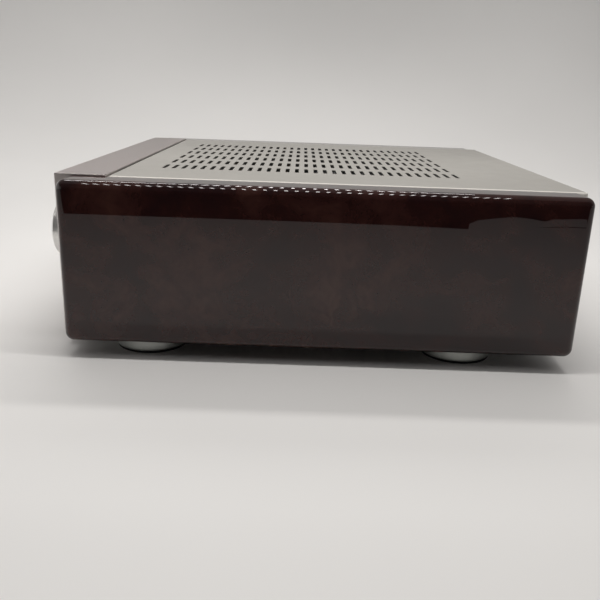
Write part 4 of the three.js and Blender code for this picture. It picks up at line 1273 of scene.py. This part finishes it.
flag = emission("dark_flag", (1.0, 0.97, 0.94), 0.024)
edge = [(-3.4, 0.838), (-0.40, 0.832), (-0.21, 0.833), (-0.015, 0.834), (0.15, 0.830), (0.262, 0.820), (0.275, 0.868), (0.300, 0.905), (0.330, 0.925),
        (0.375, 0.950), (0.400, 0.938), (0.420, 0.915), (0.445, 0.940), (0.500, 0.952), (0.540, 0.945), (0.570, 0.90), (0.60, 0.845), (3.4, 0.84)]
verts, faces = [], []
for y, x in edge:
    verts += [(x - 0.004, y, 0.0008), (2.2, y, 0.0008)]
for k in range(len(edge) - 1):
    faces.append((2 * k, 2 * k + 1, 2 * k + 3, 2 * k + 2))
only_glossy(plain_mesh("dark_flag_floor", verts, faces, flag))
card = plain_mesh("dark_flag_wall", [(2.2, -3.4, 0.0), (2.2, 3.4, 0.0), (2.2, 3.4, 2.4), (2.2, -3.4, 2.4)], [(0, 1, 2, 3)], flag)
card.visible_camera = False
# painted shadow: a slim dark strip standing in for the shade under the curled edge of the paper, seen only in
# reflections
edge2 = [(0.385, 0.852, 0.0), (0.41, 0.856, 0.004), (0.44, 0.862, 0.006), (0.48, 0.860, 0.007), (0.52, 0.856, 0.006), (0.55, 0.852, 0.0)]
verts, faces = [], []
for y, x, w in edge2:
    verts += [(x, y, 0.0006), (x + w, y, 0.0006)]
for k in range(len(edge2) - 1):
    faces.append((2 * k, 2 * k + 1, 2 * k + 3, 2 * k + 2))
only_glossy(plain_mesh("paper_curl_shadow_strip", verts, faces, flag))

# pale side wall on the left, seen in reflections
only_glossy(plain_mesh("left_wall_card", [(-2.2, -1.35, 0.0), (0.75, -1.35, 0.0), (0.75, -1.35, 1.1), (-2.2, -1.35, 1.1)], [(0, 1, 2, 3)],
                       emission("left_wall_card", (1.0, 0.985, 0.965), 0.95)))
only_glossy(plain_mesh("left_wall_far_card", [(0.75, -1.35, 0.0), (1.9, -1.35, 0.0), (1.9, -1.35, 1.1), (0.75, -1.35, 1.1)], [(0, 1, 2, 3)],
                       emission("left_wall_far_card", (1.0, 0.985, 0.965), 0.55)))

# dim ceiling above the lamps, darker towards the camera, seen only in reflections
for name, x0, x1, strength in (("dim_ceiling_card", -1.5, 0.46, 0.27), ("dark_ceiling_card", 0.46, 2.2, 0.07)):
    verts = [(x0, -3.4, 0.80), (x1, -3.4, 0.80), (x1, 3.4, 0.80), (x0, 3.4, 0.80)]
    only_glossy(plain_mesh(name, verts, [(0, 1, 2, 3)], emission(name, (1.0, 0.97, 0.94), strength)))

# two rows of small lamps under the ceiling, seen only in reflections, with soft strip lights for their light
# x, z, strength, half length, first y, pitch, count
ROWS_XZ = ((-0.235, 0.70, 26.0, 0.07, -0.440, 0.0196, 38), (0.35, 0.70, 15.0, 0.06, -0.355, 0.0167, 41))
for k, (x, z, power, d, first, pitch, count) in enumerate(ROWS_XZ):
    verts, faces = [], []
    for i in range(count):
        y = first + i * pitch
        w = 0.0028 if k else 0.0027
        a = len(verts)
        verts += [(x - d, y - w, z), (x - d, y + w, z), (x + d, y + w, z), (x + d, y - w, z)]
        faces.append((a, a + 1, a + 2, a + 3))
    only_glossy(plain_mesh("lamp_row_%d" % k, verts, faces, emission("lamp_row_%d" % k, (1.0, 0.96, 0.95), power)))

for k, (x, z, w) in enumerate(((-0.130, 0.705, 2.05), (0.262, 0.705, 2.15))):
    L = bpy.data.lights.new("strip_%d" % k, "AREA")
    L.shape = "RECTANGLE"
    L.size = (0.05, 0.02)[k]
    L.size_y = 0.76
    L.energy = w
    L.color = (1.0, 0.985, 0.965)
    o = bpy.data.objects.new("strip_%d" % k, L)
    o.location = (x, -0.02, z)
    o.visible_glossy = False
    o.visible_camera = False
    scene.collection.objects.link(o)

L = bpy.data.lights.new("sweep_wash", "AREA")
L.shape = "RECTANGLE"
L.size = 0.5
L.size_y = 2.6
L.energy = 11.0
L.color = (1.0, 0.99, 0.975)
o = bpy.data.objects.new("sweep_wash", L)
o.location = (-0.95, -0.20, 1.15)
o.visible_glossy = False
o.visible_camera = False
scene.collection.objects.link(o)

world = bpy.data.worlds.new("soft_room")
world.use_nodes = True
bg = world.node_tree.nodes["Background"]
bg.inputs[0].default_value = (0.985, 0.975, 0.96, 1)
bg.inputs[1].default_value = 0.46
scene.world = world
